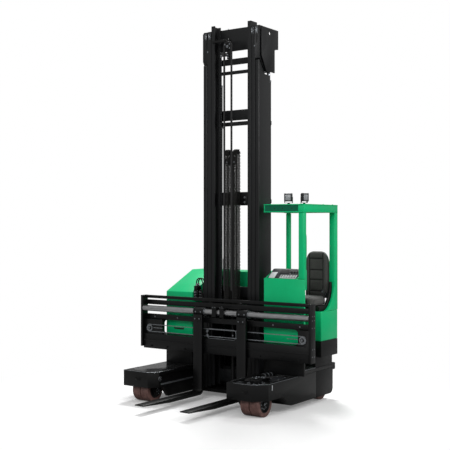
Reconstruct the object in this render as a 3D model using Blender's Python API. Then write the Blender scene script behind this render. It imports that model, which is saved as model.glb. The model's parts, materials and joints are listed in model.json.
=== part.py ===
# Multidirectional forklift: a low frame with two arms, a triplex mast that reaches forward
# between them, a wide fork carriage, and an open cab at the right.
# Metres, +Z up, -Y towards the load, +X to the cab's side. The origin is on the floor under
# the middle of the whole machine.

import math

import bmesh
import bpy
from mathutils import Matrix, Vector

for old in list(bpy.data.objects):
    bpy.data.objects.remove(old)

# Fits
TOUCH_GAP = 0.0003
RUN_CLEARANCE = 0.006
CUT_MARGIN = 0.05
ROUND_STEPS = 32

# Wheels and knuckles
WHEEL_RADIUS = 0.135
WHEEL_WIDTH = 0.225
HUB_RADIUS = 0.090
TREAD_GROOVE = 0.010
TREAD_GROOVE_DEPTH = 0.018
TREAD_CHAMFER = 0.009
HUB_RECESS = 0.022
AXLE_RADIUS = 0.022
AXLE_LENGTH = 0.075
LEG_THICKNESS = 0.016
LEG_WIDTH = 0.10
TURNTABLE_RADIUS = 0.15
TURNTABLE_THICKNESS = 0.024
FRONT_KINGPIN_X = 0.735
FRONT_KINGPIN_Y = -0.370
REAR_KINGPIN_X = 0.735
REAR_KINGPIN_Y = 0.830

# Frame
ARM_INNER_X = 0.490
ARM_OUTER_X = 0.930
ARM_FRONT_Y = -0.560
FRAME_SPLIT_Y = 0.560
REAR_Y = 0.957
FRAME_TOP_Z = 0.360
FRAME_BOTTOM_Z = 0.070
SKIRT_BOTTOM_Z = 0.185
SKIRT_REAR_Y = -0.150
SKIRT_SLOPE_LENGTH = 0.170
INNER_SKIRT_FRONT_Y = -0.400
INNER_SKIRT_SLOPE = 0.100
INNER_SKIRT_THICKNESS = 0.042
CAVITY_HEADROOM = 0.020
REAR_CORNER_RADIUS = 0.060
CHANNEL_DEPTH = 0.028
CHANNEL_BOTTOM_Z = 0.220
CHANNEL_HEIGHT = 0.105
CHANNEL_FRONT_Y = -0.440
OUTER_CHAMFER_X = 0.130
OUTER_CHAMFER_Y = 0.125
INNER_CHAMFER = 0.090
TRAY_RIM = 0.030
TRAY_DEPTH = 0.030
BUFFER_X = 0.880
BUFFER_WIDTH = 0.080
BUFFER_HEIGHT = 0.080
BUFFER_TOP_Z = 0.410
BUFFER_LENGTH = 0.078

# Left box and rear box
BODY_FRONT_Y = 0.185
LEFT_BOX_OUTER_X = 0.910
LEFT_BOX_INNER_X = 0.520
BELT_Z = 0.700
PANEL_THICKNESS = 0.020
HOOD_FRONT_Z = 1.210
HOOD_TOP_Z = 1.450
HOOD_SLOPE_LENGTH = 0.515
BATTERY_HEADROOM = 0.080
BATTERY_CLEARANCE = 0.015
REAR_BOX_FRONT_Y = 0.600
REAR_BASE_TOP_Z = 1.240

# Cab
CAB_INNER_X = 0.480
FRONT_PANEL_THICKNESS = 0.030
FRONT_PANEL_TOP_Z = 1.410
FLOOR_THICKNESS = 0.040
PEDESTAL_FRONT_Y = 0.570
PEDESTAL_TOP_Z = 1.030
PEDESTAL_SETBACK_Z = 0.520
PEDESTAL_SETBACK = 0.070
CONSOLE_INSET_X = 0.045
COWL_WALL = 0.020
COWL_REAR_Z = 1.500
CONSOLE_BOTTOM_Z = 1.280
CONSOLE_TOP_Z = 1.510
CONSOLE_DEPTH = 0.200
CONSOLE_LIP = 0.070
GUARD_TUBE = 0.070
GUARD_POST_DEPTH = 0.060
ROOF_BOTTOM_Z = 2.140
ROOF_HEIGHT = 0.090
REAR_LEFT_POST_X = 0.325
REAR_LEFT_TUBE = 0.050
FLARE_TOP_Z = 1.350
FLARE_REACH = 0.250
FLARE_THICKNESS = 0.030
FLARE_STEPS = 8
ROOF_BAR_COUNT = 4
ROOF_BAR_WIDTH = 0.024
ROOF_BAR_HEIGHT = 0.036
LAMP_SIZE = 0.095
LAMP_DEPTH = 0.060
LAMP_STEM = 0.022
LAMP_STEM_WIDTH = 0.030
FRONT_LAMP_X = 0.780

# Seat
SEAT_WIDTH = 0.360
SEAT_GAP = 0.005
SEAT_LEFT_ROOM = 0.075
CUSHION_FRONT_Y = 0.460
CUSHION_REAR_Y = 0.860
CUSHION_THICKNESS = 0.110
SEAT_RISER = 0.060
SEAT_EDGE = 0.025
BACK_THICKNESS = 0.090
BACK_HEIGHT = 0.560
BACK_REAR_Y = 0.950
BACK_SHOULDER_HEIGHT = 0.160
BACK_TOP_WIDTH = 0.130
LINING_THICKNESS = 0.030
LINING_EDGE = 0.030

# Mast
MAST_FRONT_Y = 0.230
INNER_POST_X = 0.230
INNER_POST_WIDTH = 0.045
INNER_POST_DEPTH = 0.130
MIDDLE_POST_WIDTH = 0.048
MIDDLE_POST_DEPTH = 0.180
OUTER_POST_WIDTH = 0.053
OUTER_POST_DEPTH = 0.233
POST_WEB = 0.012
POST_FLANGE = 0.018
OUTER_BOTTOM_Z = 0.100
MIDDLE_BOTTOM_Z = 0.120
INNER_BOTTOM_Z = 0.140
INNER_TOP_Z = 4.310
MIDDLE_TOP_Z = 4.250
OUTER_TOP_FRONT_Z = 3.860
OUTER_TOP_REAR_Z = 3.710
OUTER_TOP_SLOPE_DEPTH = 0.120
INNER_BEAM_DEPTH = 0.012
INNER_BEAM_OVERHANG = 0.018
MIDDLE_BEAM_DEPTH = 0.026
OUTER_BEAM_DEPTH = 0.032
BEAM_INSET = 0.002
HEAD_BRACKET_THICKNESS = 0.010
HEAD_BRACKET_GAP = 0.012
HEAD_BRACKET_REACH = 0.137
HEAD_BRACKET_STEP = 0.076
HEAD_BRACKET_RISE = 0.032
HEAD_BRACKET_SLOPE = 0.117
HEAD_BRACKET_HOLE_RADIUS = 0.018
HEAD_BRACKET_HOLE_Y = 0.420
HEAD_BRACKET_HOLE_Z = 4.179
HEAD_BRACKET_CORNER = 0.033
HOOD_PLATE_DEPTH = 0.090
HOOD_PLATE_RISE = 0.020
HEAD_SHELF_Z = 4.020
HEAD_SHELF_THICKNESS = 0.040
WEAR_PAD_HEIGHT = 0.160

# Crossbeams: mast stage, bottom, top
MAST_BEAMS = (
    ("outer", 0.120, 0.340),
    ("outer", 1.160, 1.280),
    ("outer", 3.225, 3.345),
    ("middle", 0.160, 0.300),
    ("middle", 3.155, 3.200),
    ("middle", 3.757, 3.794),
    ("middle", 3.867, 3.936),
    ("inner", 0.180, 0.320),
    ("inner", 2.225, 2.380),
    ("inner", 4.020, 4.275),
)

# Cylinders, chains and hoses
LIFT_BARREL_RADIUS = 0.030
LIFT_ROD_RADIUS = 0.020
LIFT_CYLINDER_X = 0.340
LIFT_BARREL_TOP_Z = 3.640
LIFT_ROD_BOTTOM_Z = 0.300
ROD_CLEARANCE = 0.0008
FREE_LIFT_X = -0.010
FREE_LIFT_Y = 0.288
FREE_BARREL_RADIUS = 0.022
FREE_ROD_RADIUS = 0.013
FREE_BARREL_TOP_Z = 2.600
FREE_ROD_BOTTOM_Z = 0.700
FREE_FOOT_HEIGHT = 0.040
FREE_HEAD_Z = 2.690
FREE_HEAD_HEIGHT = 0.100
CHAIN_WIDTH = 0.064
CHAIN_THICKNESS = 0.012
CHAIN_PULLEY_RADIUS = 0.024
CHAIN_CENTRE_Y = 0.272
CHAIN_PULLEY_Z = 2.830
CHAIN_BOTTOM_Z = 1.050
CHAIN_SPACING = 0.120
CHAIN_PIN_RADIUS = 0.010
HOSE_RADIUS = 0.012
HOSE_LOOP_RADIUS = 0.050
HOSE_X = -0.010
HOSE_Y = 0.185
HOSE_LOOP_Z = 4.040
HOSE_BOTTOM_Z = 1.250
SHEAVE_THICKNESS = 0.014

# Reach carriage
REACH_REAR_Y = 0.540
REACH_ROLLER_RADIUS = 0.048
REACH_ROLLER_WIDTH = 0.022
REACH_PLATE_THICKNESS = 0.030
REACH_PLATE_GAP = 0.010
REACH_SHELF_THICKNESS = 0.040
REACH_WALL_TOP_Z = 0.330

# Fork carriage
CARRIAGE_HALF_WIDTH = 1.170
CARRIAGE_FRONT_Y = 0.020
END_PLATE_DEPTH = 0.100
END_PLATE_THICKNESS = 0.030
CARRIAGE_TOP_Z = 1.160
LEFT_END_BOTTOM_Z = 0.550
RIGHT_END_BOTTOM_Z = 0.530
RAIL_FRONT_Y = 0.085
LOWER_PLATE_FRONT_Y = 0.040
RAIL_REAR_Y = 0.108
TOP_RAIL_HEIGHT = 0.036
BAND_BOTTOM_Z = 1.050
BAND_HEIGHT = 0.056
SHAFT_RADIUS = 0.034
SHAFT_Y = 0.050
SHAFT_Z = 1.007
SHAFT_BRACKET_XS = (-0.105, 0.055)
SHAFT_BRACKET_LUG = 0.055
SHAFT_BRACKET_WALL = 0.016
UPPER_PLATE_BOTTOM_Z = 0.876
UPPER_PLATE_HEIGHT = 0.062
LOWER_PLATE_BOTTOM_Z = 0.530
LOWER_PLATE_HEIGHT = 0.175
LEFT_GUSSET_WIDTH = 0.270
RIGHT_GUSSET_WIDTH = 0.150
GUSSET_FRONT_Y = 0.056
HANGER_X = 0.177
HANGER_THICKNESS = 0.045
HANGER_BOTTOM_Z = 0.550
HANGER_TOP_Z = 1.120
HANGER_REAR_Y = 0.312
CARRIAGE_ROLLER_ZS = (0.650, 1.040)
LOOP_X = 1.050
LOOP_Z = 0.772
LOOP_RADIUS = 0.046
LOOP_STRAND = 0.010
LOOP_DEPTH = 0.012

# Forks
FORK_X = 0.300
FORK_WIDTH = 0.120
FORK_THICKNESS = 0.040
FORK_SHANK_FRONT_Y = -0.010
FORK_TOP_Z = 0.105
FORK_TIP_Y = -1.035
FORK_TIP_THICKNESS = 0.012
FORK_TAPER_LENGTH = 0.450
FORK_HEEL_RADIUS = 0.070
SLEEVE_WALL = 0.014
SLEEVE_WIDTH = 0.140
SLEEVE_CLEARANCE = 0.0005
FORK_TOP_END_Z = 0.975

# Values that follow from the ones above
CAVITY_RADIUS = math.hypot(WHEEL_RADIUS, WHEEL_WIDTH / 2) + RUN_CLEARANCE
CAVITY_TOP_Z = 2 * WHEEL_RADIUS + CAVITY_HEADROOM + TURNTABLE_THICKNESS
MIDDLE_POST_X = INNER_POST_X + INNER_POST_WIDTH + RUN_CLEARANCE
OUTER_POST_X = MIDDLE_POST_X + MIDDLE_POST_WIDTH + RUN_CLEARANCE
MAST_OUTER_X = OUTER_POST_X + OUTER_POST_WIDTH
INNER_POST_REAR_Y = MAST_FRONT_Y + INNER_POST_DEPTH
MIDDLE_POST_REAR_Y = MAST_FRONT_Y + MIDDLE_POST_DEPTH
OUTER_POST_REAR_Y = MAST_FRONT_Y + OUTER_POST_DEPTH
LIFT_CYLINDER_Y = OUTER_POST_REAR_Y + RUN_CLEARANCE + LIFT_BARREL_RADIUS
SEAT_CENTRE_X = CAB_INNER_X + SEAT_LEFT_ROOM + SEAT_WIDTH / 2
CAB_OUTER_X = CAB_INNER_X + SEAT_LEFT_ROOM + SEAT_WIDTH + SEAT_GAP + GUARD_TUBE
ROOF_TOP_Z = ROOF_BOTTOM_Z + ROOF_HEIGHT

SIDES = (("left", -1), ("right", 1))


# Finishes: name, colour, roughness, metallic
FINISHES = {
    "green_paint": ((0.0, 0.42, 0.13), 0.35, 0.0),
    "black_paint": ((0.02, 0.02, 0.022), 0.45, 0.0),
    "mast_steel": ((0.035, 0.035, 0.038), 0.40, 0.3),
    "bright_steel": ((0.45, 0.46, 0.48), 0.25, 1.0),
    "brown_tread": ((0.16, 0.08, 0.05), 0.60, 0.0),
    "seat_vinyl": ((0.04, 0.04, 0.045), 0.70, 0.0),
    "chain_steel": ((0.10, 0.10, 0.10), 0.45, 0.8),
    "rubber": ((0.015, 0.015, 0.015), 0.80, 0.0),
}


def finish_material(name):
    if name in bpy.data.materials:
        return bpy.data.materials[name]
    colour, roughness, metallic = FINISHES[name]
    material = bpy.data.materials.new(name)
    material.use_nodes = True
    shader = material.node_tree.nodes["Principled BSDF"]
    shader.inputs["Base Color"].default_value = (*colour, 1.0)
    shader.inputs["Roughness"].default_value = roughness
    shader.inputs["Metallic"].default_value = metallic
    return material


def keep(name, shape, finish, smooth=False):
    # Turns a finished bmesh into a named object
    bmesh.ops.remove_doubles(shape, verts=shape.verts, dist=0.00001)
    bmesh.ops.recalc_face_normals(shape, faces=shape.faces)
    mesh = bpy.data.meshes.new(name)
    shape.to_mesh(mesh)
    shape.free()
    if smooth:
        mesh.shade_smooth()
        mesh.set_sharp_from_angle(angle=math.radians(35))
    piece = bpy.data.objects.new(name, mesh)
    bpy.context.collection.objects.link(piece)
    mesh.materials.append(finish_material(finish))
    return piece


def block_shape(x, y, z):
    shape = bmesh.new()
    bmesh.ops.create_cube(shape, size=1.0)
    low = Vector((min(x), min(y), min(z)))
    high = Vector((max(x), max(y), max(z)))
    bmesh.ops.scale(shape, vec=high - low, verts=shape.verts)
    bmesh.ops.translate(shape, vec=(low + high) / 2, verts=shape.verts)
    return shape


def block(name, finish, x, y, z):
    return keep(name, block_shape(x, y, z), finish)


def place_point(axis, u, v, along):
    # Puts an outline's point (u, v) in space: (y, z) on X, (x, z) on Y and (x, y) on Z
    if axis == "X":
        return Vector((along, u, v))
    if axis == "Y":
        return Vector((u, along, v))
    return Vector((u, v, along))


def prism(name, finish, outline, axis, low, high, smooth=False):
    shape = bmesh.new()
    corners = [shape.verts.new(place_point(axis, u, v, low)) for u, v in outline]
    face = shape.faces.new(corners)
    grown = bmesh.ops.extrude_face_region(shape, geom=[face])
    moved = [item for item in grown["geom"] if isinstance(item, bmesh.types.BMVert)]
    bmesh.ops.translate(shape, vec=place_point(axis, 0, 0, high - low), verts=moved)
    return keep(name, shape, finish, smooth)


def turned(name, finish, profile, axis, centre, steps=ROUND_STEPS):
    # Spins a closed profile of (radius, offset) points about an axis through the centre
    shape = bmesh.new()
    corners = [shape.verts.new((radius, 0, offset)) for radius, offset in profile]
    # An edge that lies on the axis would only spin into slivers
    edges = [shape.edges.new((corners[i - 1], corners[i])) for i in range(len(corners))
             if profile[i - 1][0] > 0 or profile[i][0] > 0]
    bmesh.ops.spin(shape, geom=corners + edges, cent=(0, 0, 0), axis=(0, 0, 1),
                   angle=math.tau, steps=steps, use_merge=True)
    bmesh.ops.remove_doubles(shape, verts=shape.verts, dist=0.00001)
    turn = {"X": Matrix.Rotation(math.pi / 2, 4, "Y"),
            "Y": Matrix.Rotation(-math.pi / 2, 4, "X"),
            "Z": Matrix.Identity(4)}[axis]
    bmesh.ops.transform(shape, matrix=turn, verts=shape.verts)
    bmesh.ops.translate(shape, vec=centre, verts=shape.verts)
    return keep(name, shape, finish, smooth=True)


def rod(name, finish, radius, axis, centre, low, high, steps=ROUND_STEPS):
    profile = [(0, low), (radius, low), (radius, high), (0, high)]
    return turned(name, finish, profile, axis, centre, steps)


def pipe(name, finish, inner, outer, axis, centre, low, high, steps=ROUND_STEPS):
    profile = [(inner, low), (outer, low), (outer, high), (inner, high)]
    return turned(name, finish, profile, axis, centre, steps)


def as_helper(piece):
    piece.hide_render = True
    piece.display_type = "WIRE"
    return piece


def combine(target, helpers, operation):
    for helper in helpers:
        as_helper(helper)
        step = target.modifiers.new(operation.lower() + "_" + helper.name, "BOOLEAN")
        step.operation = operation
        step.solver = "EXACT"
        step.object = helper
    return target


def join(target, *helpers):
    return combine(target, helpers, "UNION")


def cut(target, *helpers):
    return combine(target, helpers, "DIFFERENCE")


def arc(centre_u, centre_v, radius, start, end, steps):
    # Points on an arc from start to end, in degrees
    points = []
    for step in range(steps + 1):
        angle = math.radians(start + (end - start) * step / steps)
        points.append((centre_u + radius * math.cos(angle), centre_v + radius * math.sin(angle)))
    return points


def corner_cutter(name, first, second, outside, low, high):
    # A three-sided cutter that takes off a corner along the line from first to second
    start = Vector(first)
    end = Vector(second)
    along = (end - start).normalized() * CUT_MARGIN
    outline = [tuple(start - along), tuple(end + along), outside]
    return prism(name, "black_paint", outline, "Z", low, high)


# Frame

def wheel_cavity(name, x, y):
    return rod(name, "black_paint", CAVITY_RADIUS, "Z", (x, y, 0), 0.0, CAVITY_TOP_Z, 40)


def arm(side_name, side):
    skirt_slope_end = SKIRT_REAR_Y + SKIRT_SLOPE_LENGTH
    outline = [
        (ARM_FRONT_Y, SKIRT_BOTTOM_Z), (SKIRT_REAR_Y, SKIRT_BOTTOM_Z),
        (skirt_slope_end, FRAME_BOTTOM_Z), (FRAME_SPLIT_Y - TOUCH_GAP, FRAME_BOTTOM_Z),
        (FRAME_SPLIT_Y - TOUCH_GAP, FRAME_TOP_Z), (ARM_FRONT_Y, FRAME_TOP_Z),
    ]
    low, high = sorted((side * ARM_INNER_X, side * ARM_OUTER_X))
    piece = prism(side_name + "_arm", "black_paint", outline, "X", low, high)
    # The inner side reaches low from just behind the wheel
    inner_skirt = prism(
        side_name + "_inner_skirt", "black_paint",
        [(INNER_SKIRT_FRONT_Y, SKIRT_BOTTOM_Z - TOUCH_GAP),
         (INNER_SKIRT_FRONT_Y + INNER_SKIRT_SLOPE, FRAME_BOTTOM_Z),
         (skirt_slope_end, FRAME_BOTTOM_Z), (skirt_slope_end, FRAME_TOP_Z - TRAY_RIM),
         (INNER_SKIRT_FRONT_Y, FRAME_TOP_Z - TRAY_RIM)],
        "X", *sorted((side * (ARM_INNER_X + TOUCH_GAP),
                      side * (ARM_INNER_X + INNER_SKIRT_THICKNESS))))
    join(piece, inner_skirt)
    cavity = wheel_cavity(side_name + "_arm_cavity", side * FRONT_KINGPIN_X, FRONT_KINGPIN_Y)
    channel = block(side_name + "_channel_cutter", "black_paint",
                    (side * (ARM_INNER_X - CUT_MARGIN), side * (ARM_INNER_X + CHANNEL_DEPTH)),
                    (CHANNEL_FRONT_Y, FRAME_SPLIT_Y + CUT_MARGIN),
                    (CHANNEL_BOTTOM_Z, CHANNEL_BOTTOM_Z + CHANNEL_HEIGHT))
    cut(piece, cavity, channel)
    return piece


left_arm = arm("left", -1)
right_arm = arm("right", 1)
cut(left_arm, corner_cutter(
    "left_corner_cutter", (-ARM_INNER_X - INNER_CHAMFER, ARM_FRONT_Y),
    (-ARM_INNER_X, ARM_FRONT_Y + INNER_CHAMFER),
    (-ARM_INNER_X + CUT_MARGIN, ARM_FRONT_Y - CUT_MARGIN), 0.0, FRAME_TOP_Z + CUT_MARGIN))
cut(right_arm, corner_cutter(
    "right_corner_cutter", (ARM_OUTER_X - OUTER_CHAMFER_X, ARM_FRONT_Y),
    (ARM_OUTER_X, ARM_FRONT_Y + OUTER_CHAMFER_Y),
    (ARM_OUTER_X + CUT_MARGIN, ARM_FRONT_Y - CUT_MARGIN), 0.0, FRAME_TOP_Z + CUT_MARGIN))
cut(right_arm, prism(
    "tray_cutter", "black_paint",
    [(ARM_INNER_X + TRAY_RIM, ARM_FRONT_Y + TRAY_RIM),
     (ARM_OUTER_X - OUTER_CHAMFER_X - TRAY_RIM / 3, ARM_FRONT_Y + TRAY_RIM),
     (ARM_OUTER_X - TRAY_RIM, ARM_FRONT_Y + OUTER_CHAMFER_Y + TRAY_RIM / 2),
     (ARM_OUTER_X - TRAY_RIM, BODY_FRONT_Y - TRAY_RIM),
     (ARM_INNER_X + TRAY_RIM, BODY_FRONT_Y - TRAY_RIM)],
    "Z", FRAME_TOP_Z - TRAY_DEPTH, FRAME_TOP_Z + CUT_MARGIN))

rear_frame = prism(
    "rear_frame", "black_paint",
    [(FRAME_SPLIT_Y, FRAME_BOTTOM_Z)]
    + arc(REAR_Y - REAR_CORNER_RADIUS, FRAME_BOTTOM_Z + REAR_CORNER_RADIUS,
          REAR_CORNER_RADIUS, -90, 0, 5)
    + [(REAR_Y, FRAME_TOP_Z), (FRAME_SPLIT_Y, FRAME_TOP_Z)],
    "X", -ARM_OUTER_X, ARM_OUTER_X)
for side_name, side in SIDES:
    cut(rear_frame, wheel_cavity(side_name + "_rear_cavity", side * REAR_KINGPIN_X, REAR_KINGPIN_Y))

for side_name, side in SIDES:
    block(side_name + "_buffer", "rubber",
          (side * (BUFFER_X - BUFFER_WIDTH / 2), side * (BUFFER_X + BUFFER_WIDTH / 2)),
          (REAR_Y + TOUCH_GAP, REAR_Y + BUFFER_LENGTH),
          (BUFFER_TOP_Z - BUFFER_HEIGHT, BUFFER_TOP_Z))

# Left box with the battery, and the box behind the mast

base_floor_z = FRAME_TOP_Z + TOUCH_GAP
left_base = block("left_base", "black_paint", (-LEFT_BOX_OUTER_X, -LEFT_BOX_INNER_X),
                  (BODY_FRONT_Y, REAR_Y), (base_floor_z, BELT_Z))
cut(left_base, block(
    "left_base_cutter", "black_paint",
    (-LEFT_BOX_OUTER_X + PANEL_THICKNESS, -LEFT_BOX_INNER_X - PANEL_THICKNESS),
    (BODY_FRONT_Y + PANEL_THICKNESS, REAR_Y - PANEL_THICKNESS),
    (base_floor_z + PANEL_THICKNESS, BELT_Z + CUT_MARGIN)))

hood_bottom_z = BELT_Z + TOUCH_GAP
left_hood = prism(
    "left_hood", "green_paint",
    [(BODY_FRONT_Y, hood_bottom_z), (REAR_Y, hood_bottom_z), (REAR_Y, HOOD_TOP_Z),
     (BODY_FRONT_Y + HOOD_SLOPE_LENGTH, HOOD_TOP_Z), (BODY_FRONT_Y, HOOD_FRONT_Z)],
    "X", -LEFT_BOX_OUTER_X, -LEFT_BOX_INNER_X)
cut(left_hood, prism(
    "left_hood_cutter", "green_paint",
    [(BODY_FRONT_Y + PANEL_THICKNESS, BELT_Z - CUT_MARGIN),
     (REAR_Y - PANEL_THICKNESS, BELT_Z - CUT_MARGIN),
     (REAR_Y - PANEL_THICKNESS, HOOD_TOP_Z - PANEL_THICKNESS),
     (BODY_FRONT_Y + HOOD_SLOPE_LENGTH, HOOD_TOP_Z - PANEL_THICKNESS),
     (BODY_FRONT_Y + PANEL_THICKNESS, HOOD_FRONT_Z - PANEL_THICKNESS)],
    "X", -LEFT_BOX_OUTER_X + PANEL_THICKNESS, -LEFT_BOX_INNER_X - PANEL_THICKNESS))

battery_inset = PANEL_THICKNESS + BATTERY_CLEARANCE
battery_bottom_z = base_floor_z + PANEL_THICKNESS + TOUCH_GAP
block("battery_block", "black_paint",
      (-LEFT_BOX_OUTER_X + battery_inset, -LEFT_BOX_INNER_X - battery_inset),
      (BODY_FRONT_Y + battery_inset, REAR_Y - battery_inset),
      (battery_bottom_z, HOOD_FRONT_Z - PANEL_THICKNESS - BATTERY_HEADROOM))

block("rear_base", "black_paint",
      (-LEFT_BOX_INNER_X + TOUCH_GAP, CAB_INNER_X - TOUCH_GAP),
      (REAR_BOX_FRONT_Y, REAR_Y), (base_floor_z, REAR_BASE_TOP_Z))
block("rear_cover", "green_paint",
      (-LEFT_BOX_INNER_X + TOUCH_GAP, REAR_LEFT_POST_X - TOUCH_GAP),
      (REAR_BOX_FRONT_Y, REAR_Y), (REAR_BASE_TOP_Z + TOUCH_GAP, HOOD_TOP_Z))

# Cab

floor_top_z = base_floor_z + FLOOR_THICKNESS
panel_rear_y = BODY_FRONT_Y + FRONT_PANEL_THICKNESS
cab_tub = block("cab_tub", "black_paint", (CAB_INNER_X, ARM_OUTER_X),
                (BODY_FRONT_Y, REAR_Y), (base_floor_z, floor_top_z))
join(cab_tub,
     block("tub_front", "black_paint", (CAB_INNER_X, CAB_OUTER_X),
           (BODY_FRONT_Y, panel_rear_y), (base_floor_z, BELT_Z)),
     block("tub_pedestal", "black_paint", (CAB_INNER_X, CAB_OUTER_X - PEDESTAL_SETBACK),
           (PEDESTAL_FRONT_Y, REAR_Y), (base_floor_z, BELT_Z)),
     block("tub_overhang", "black_paint", (CAB_INNER_X, CAB_OUTER_X),
           (PEDESTAL_FRONT_Y, REAR_Y), (PEDESTAL_SETBACK_Z, BELT_Z)))
cab_front_panel = block("cab_front_panel", "green_paint", (CAB_INNER_X, CAB_OUTER_X),
                        (BODY_FRONT_Y, panel_rear_y), (BELT_Z + TOUCH_GAP, FRONT_PANEL_TOP_Z))
# The cowl's cheeks stand on both sides of the console; the left one reaches the belt
console_low_x = CAB_INNER_X + COWL_WALL + TOUCH_GAP
console_high_x = CAB_OUTER_X - GUARD_TUBE - CONSOLE_INSET_X
cowl_rear_y = panel_rear_y + CONSOLE_DEPTH
for cheek_name, cheek_x, cheek_low_z in (
        ("left", CAB_INNER_X, BELT_Z + 2 * TOUCH_GAP),
        ("right", console_high_x + TOUCH_GAP, CONSOLE_BOTTOM_Z)):
    join(cab_front_panel, prism(
        cheek_name + "_cowl_cheek", "green_paint",
        [(panel_rear_y - PANEL_THICKNESS / 2, cheek_low_z), (cowl_rear_y, cheek_low_z),
         (cowl_rear_y, COWL_REAR_Z), (panel_rear_y - PANEL_THICKNESS / 2, FRONT_PANEL_TOP_Z)],
        "X", cheek_x, cheek_x + COWL_WALL))
block("seat_pedestal", "green_paint", (CAB_INNER_X, CAB_OUTER_X),
      (PEDESTAL_FRONT_Y, REAR_Y), (BELT_Z + TOUCH_GAP, PEDESTAL_TOP_Z))

console_front_y = panel_rear_y + TOUCH_GAP
prism("cab_console", "black_paint",
      [(console_front_y, CONSOLE_BOTTOM_Z),
       (console_front_y + CONSOLE_DEPTH - CONSOLE_LIP, CONSOLE_BOTTOM_Z),
       (console_front_y + CONSOLE_DEPTH, CONSOLE_TOP_Z - CONSOLE_LIP),
       (console_front_y + CONSOLE_DEPTH, CONSOLE_TOP_Z),
       (console_front_y + CONSOLE_DEPTH - CONSOLE_LIP, CONSOLE_TOP_Z),
       (console_front_y, FRONT_PANEL_TOP_Z)],
      "X", console_low_x, console_high_x)

post_top_z = ROOF_BOTTOM_Z - TOUCH_GAP
block("front_post", "green_paint", (CAB_OUTER_X - GUARD_TUBE, CAB_OUTER_X),
      (BODY_FRONT_Y, BODY_FRONT_Y + GUARD_POST_DEPTH),
      (FRONT_PANEL_TOP_Z + TOUCH_GAP, post_top_z))
block("rear_left_post", "green_paint", (REAR_LEFT_POST_X, REAR_LEFT_POST_X + REAR_LEFT_TUBE),
      (REAR_Y - REAR_LEFT_TUBE, REAR_Y), (REAR_BASE_TOP_Z + TOUCH_GAP, post_top_z))

flare_bottom_z = PEDESTAL_TOP_Z + TOUCH_GAP
flare_height = FLARE_TOP_Z - flare_bottom_z
flare = [(REAR_Y - GUARD_TUBE - FLARE_REACH * (1 - math.cos(math.radians(90 * k / FLARE_STEPS))),
          FLARE_TOP_Z - flare_height * math.sin(math.radians(90 * k / FLARE_STEPS)))
         for k in range(FLARE_STEPS + 1)]
rear_right_post = block("rear_right_post", "green_paint",
                        (CAB_OUTER_X - GUARD_TUBE, CAB_OUTER_X),
                        (REAR_Y - GUARD_TUBE, REAR_Y), (flare_bottom_z, post_top_z))
join(rear_right_post, prism(
    "post_flare", "green_paint",
    flare + [(REAR_Y - GUARD_TUBE / 2, flare_bottom_z), (REAR_Y - GUARD_TUBE / 2, FLARE_TOP_Z)],
    "X", CAB_OUTER_X - FLARE_THICKNESS, CAB_OUTER_X))

roof_outline = [
    (CAB_INNER_X, BODY_FRONT_Y), (CAB_OUTER_X, BODY_FRONT_Y), (CAB_OUTER_X, REAR_Y),
    (REAR_LEFT_POST_X, REAR_Y), (REAR_LEFT_POST_X, REAR_Y - GUARD_TUBE),
    (CAB_INNER_X, REAR_BOX_FRONT_Y),
]
roof_left_x = CAB_INNER_X + GUARD_TUBE
roof_right_x = CAB_OUTER_X - GUARD_TUBE
roof_front_y = BODY_FRONT_Y + GUARD_POST_DEPTH
roof_rear_y = REAR_Y - GUARD_TUBE
guard_roof = prism("guard_roof", "green_paint", roof_outline, "Z", ROOF_BOTTOM_Z, ROOF_TOP_Z)
cut(guard_roof, block("roof_cutter", "green_paint", (roof_left_x, roof_right_x),
                      (roof_front_y, roof_rear_y),
                      (ROOF_BOTTOM_Z - CUT_MARGIN, ROOF_TOP_Z + CUT_MARGIN)))
bar_pitch = (roof_rear_y - roof_front_y) / (ROOF_BAR_COUNT + 1)
for index in range(ROOF_BAR_COUNT):
    bar_y = roof_front_y + bar_pitch * (index + 1)
    bar_top_z = ROOF_TOP_Z - ROOF_BAR_HEIGHT / 2
    join(guard_roof, block(
        "roof_bar_%d" % (index + 1), "green_paint",
        (roof_left_x - GUARD_TUBE / 3, roof_right_x + GUARD_TUBE / 3),
        (bar_y - ROOF_BAR_WIDTH / 2, bar_y + ROOF_BAR_WIDTH / 2),
        (bar_top_z - ROOF_BAR_HEIGHT, bar_top_z)))


def lamp(name, x, y, face_axis):
    # A square work lamp on a short stem; it faces -Y, or +X at the corner
    stem_bottom_z = ROOF_TOP_Z + TOUCH_GAP
    lamp_bottom_z = ROOF_TOP_Z + LAMP_STEM
    half_x, half_y = LAMP_SIZE / 2, LAMP_DEPTH / 2
    if face_axis == "X":
        half_x, half_y = half_y, half_x
    body = block(name, "black_paint", (x - half_x, x + half_x), (y - half_y, y + half_y),
                 (lamp_bottom_z, lamp_bottom_z + LAMP_SIZE))
    half_stem = LAMP_STEM_WIDTH / 2
    join(body, block(name + "_stem", "black_paint", (x - half_stem, x + half_stem),
                     (y - half_stem, y + half_stem),
                     (stem_bottom_z, lamp_bottom_z + LAMP_STEM)))
    return body


lamp_row_y = BODY_FRONT_Y + GUARD_POST_DEPTH / 2
lamp("front_lamp", FRONT_LAMP_X, lamp_row_y, "Y")
lamp("side_lamp", CAB_OUTER_X - LAMP_DEPTH / 2, lamp_row_y + LAMP_SIZE / 3, "X")

# Seat

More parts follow.
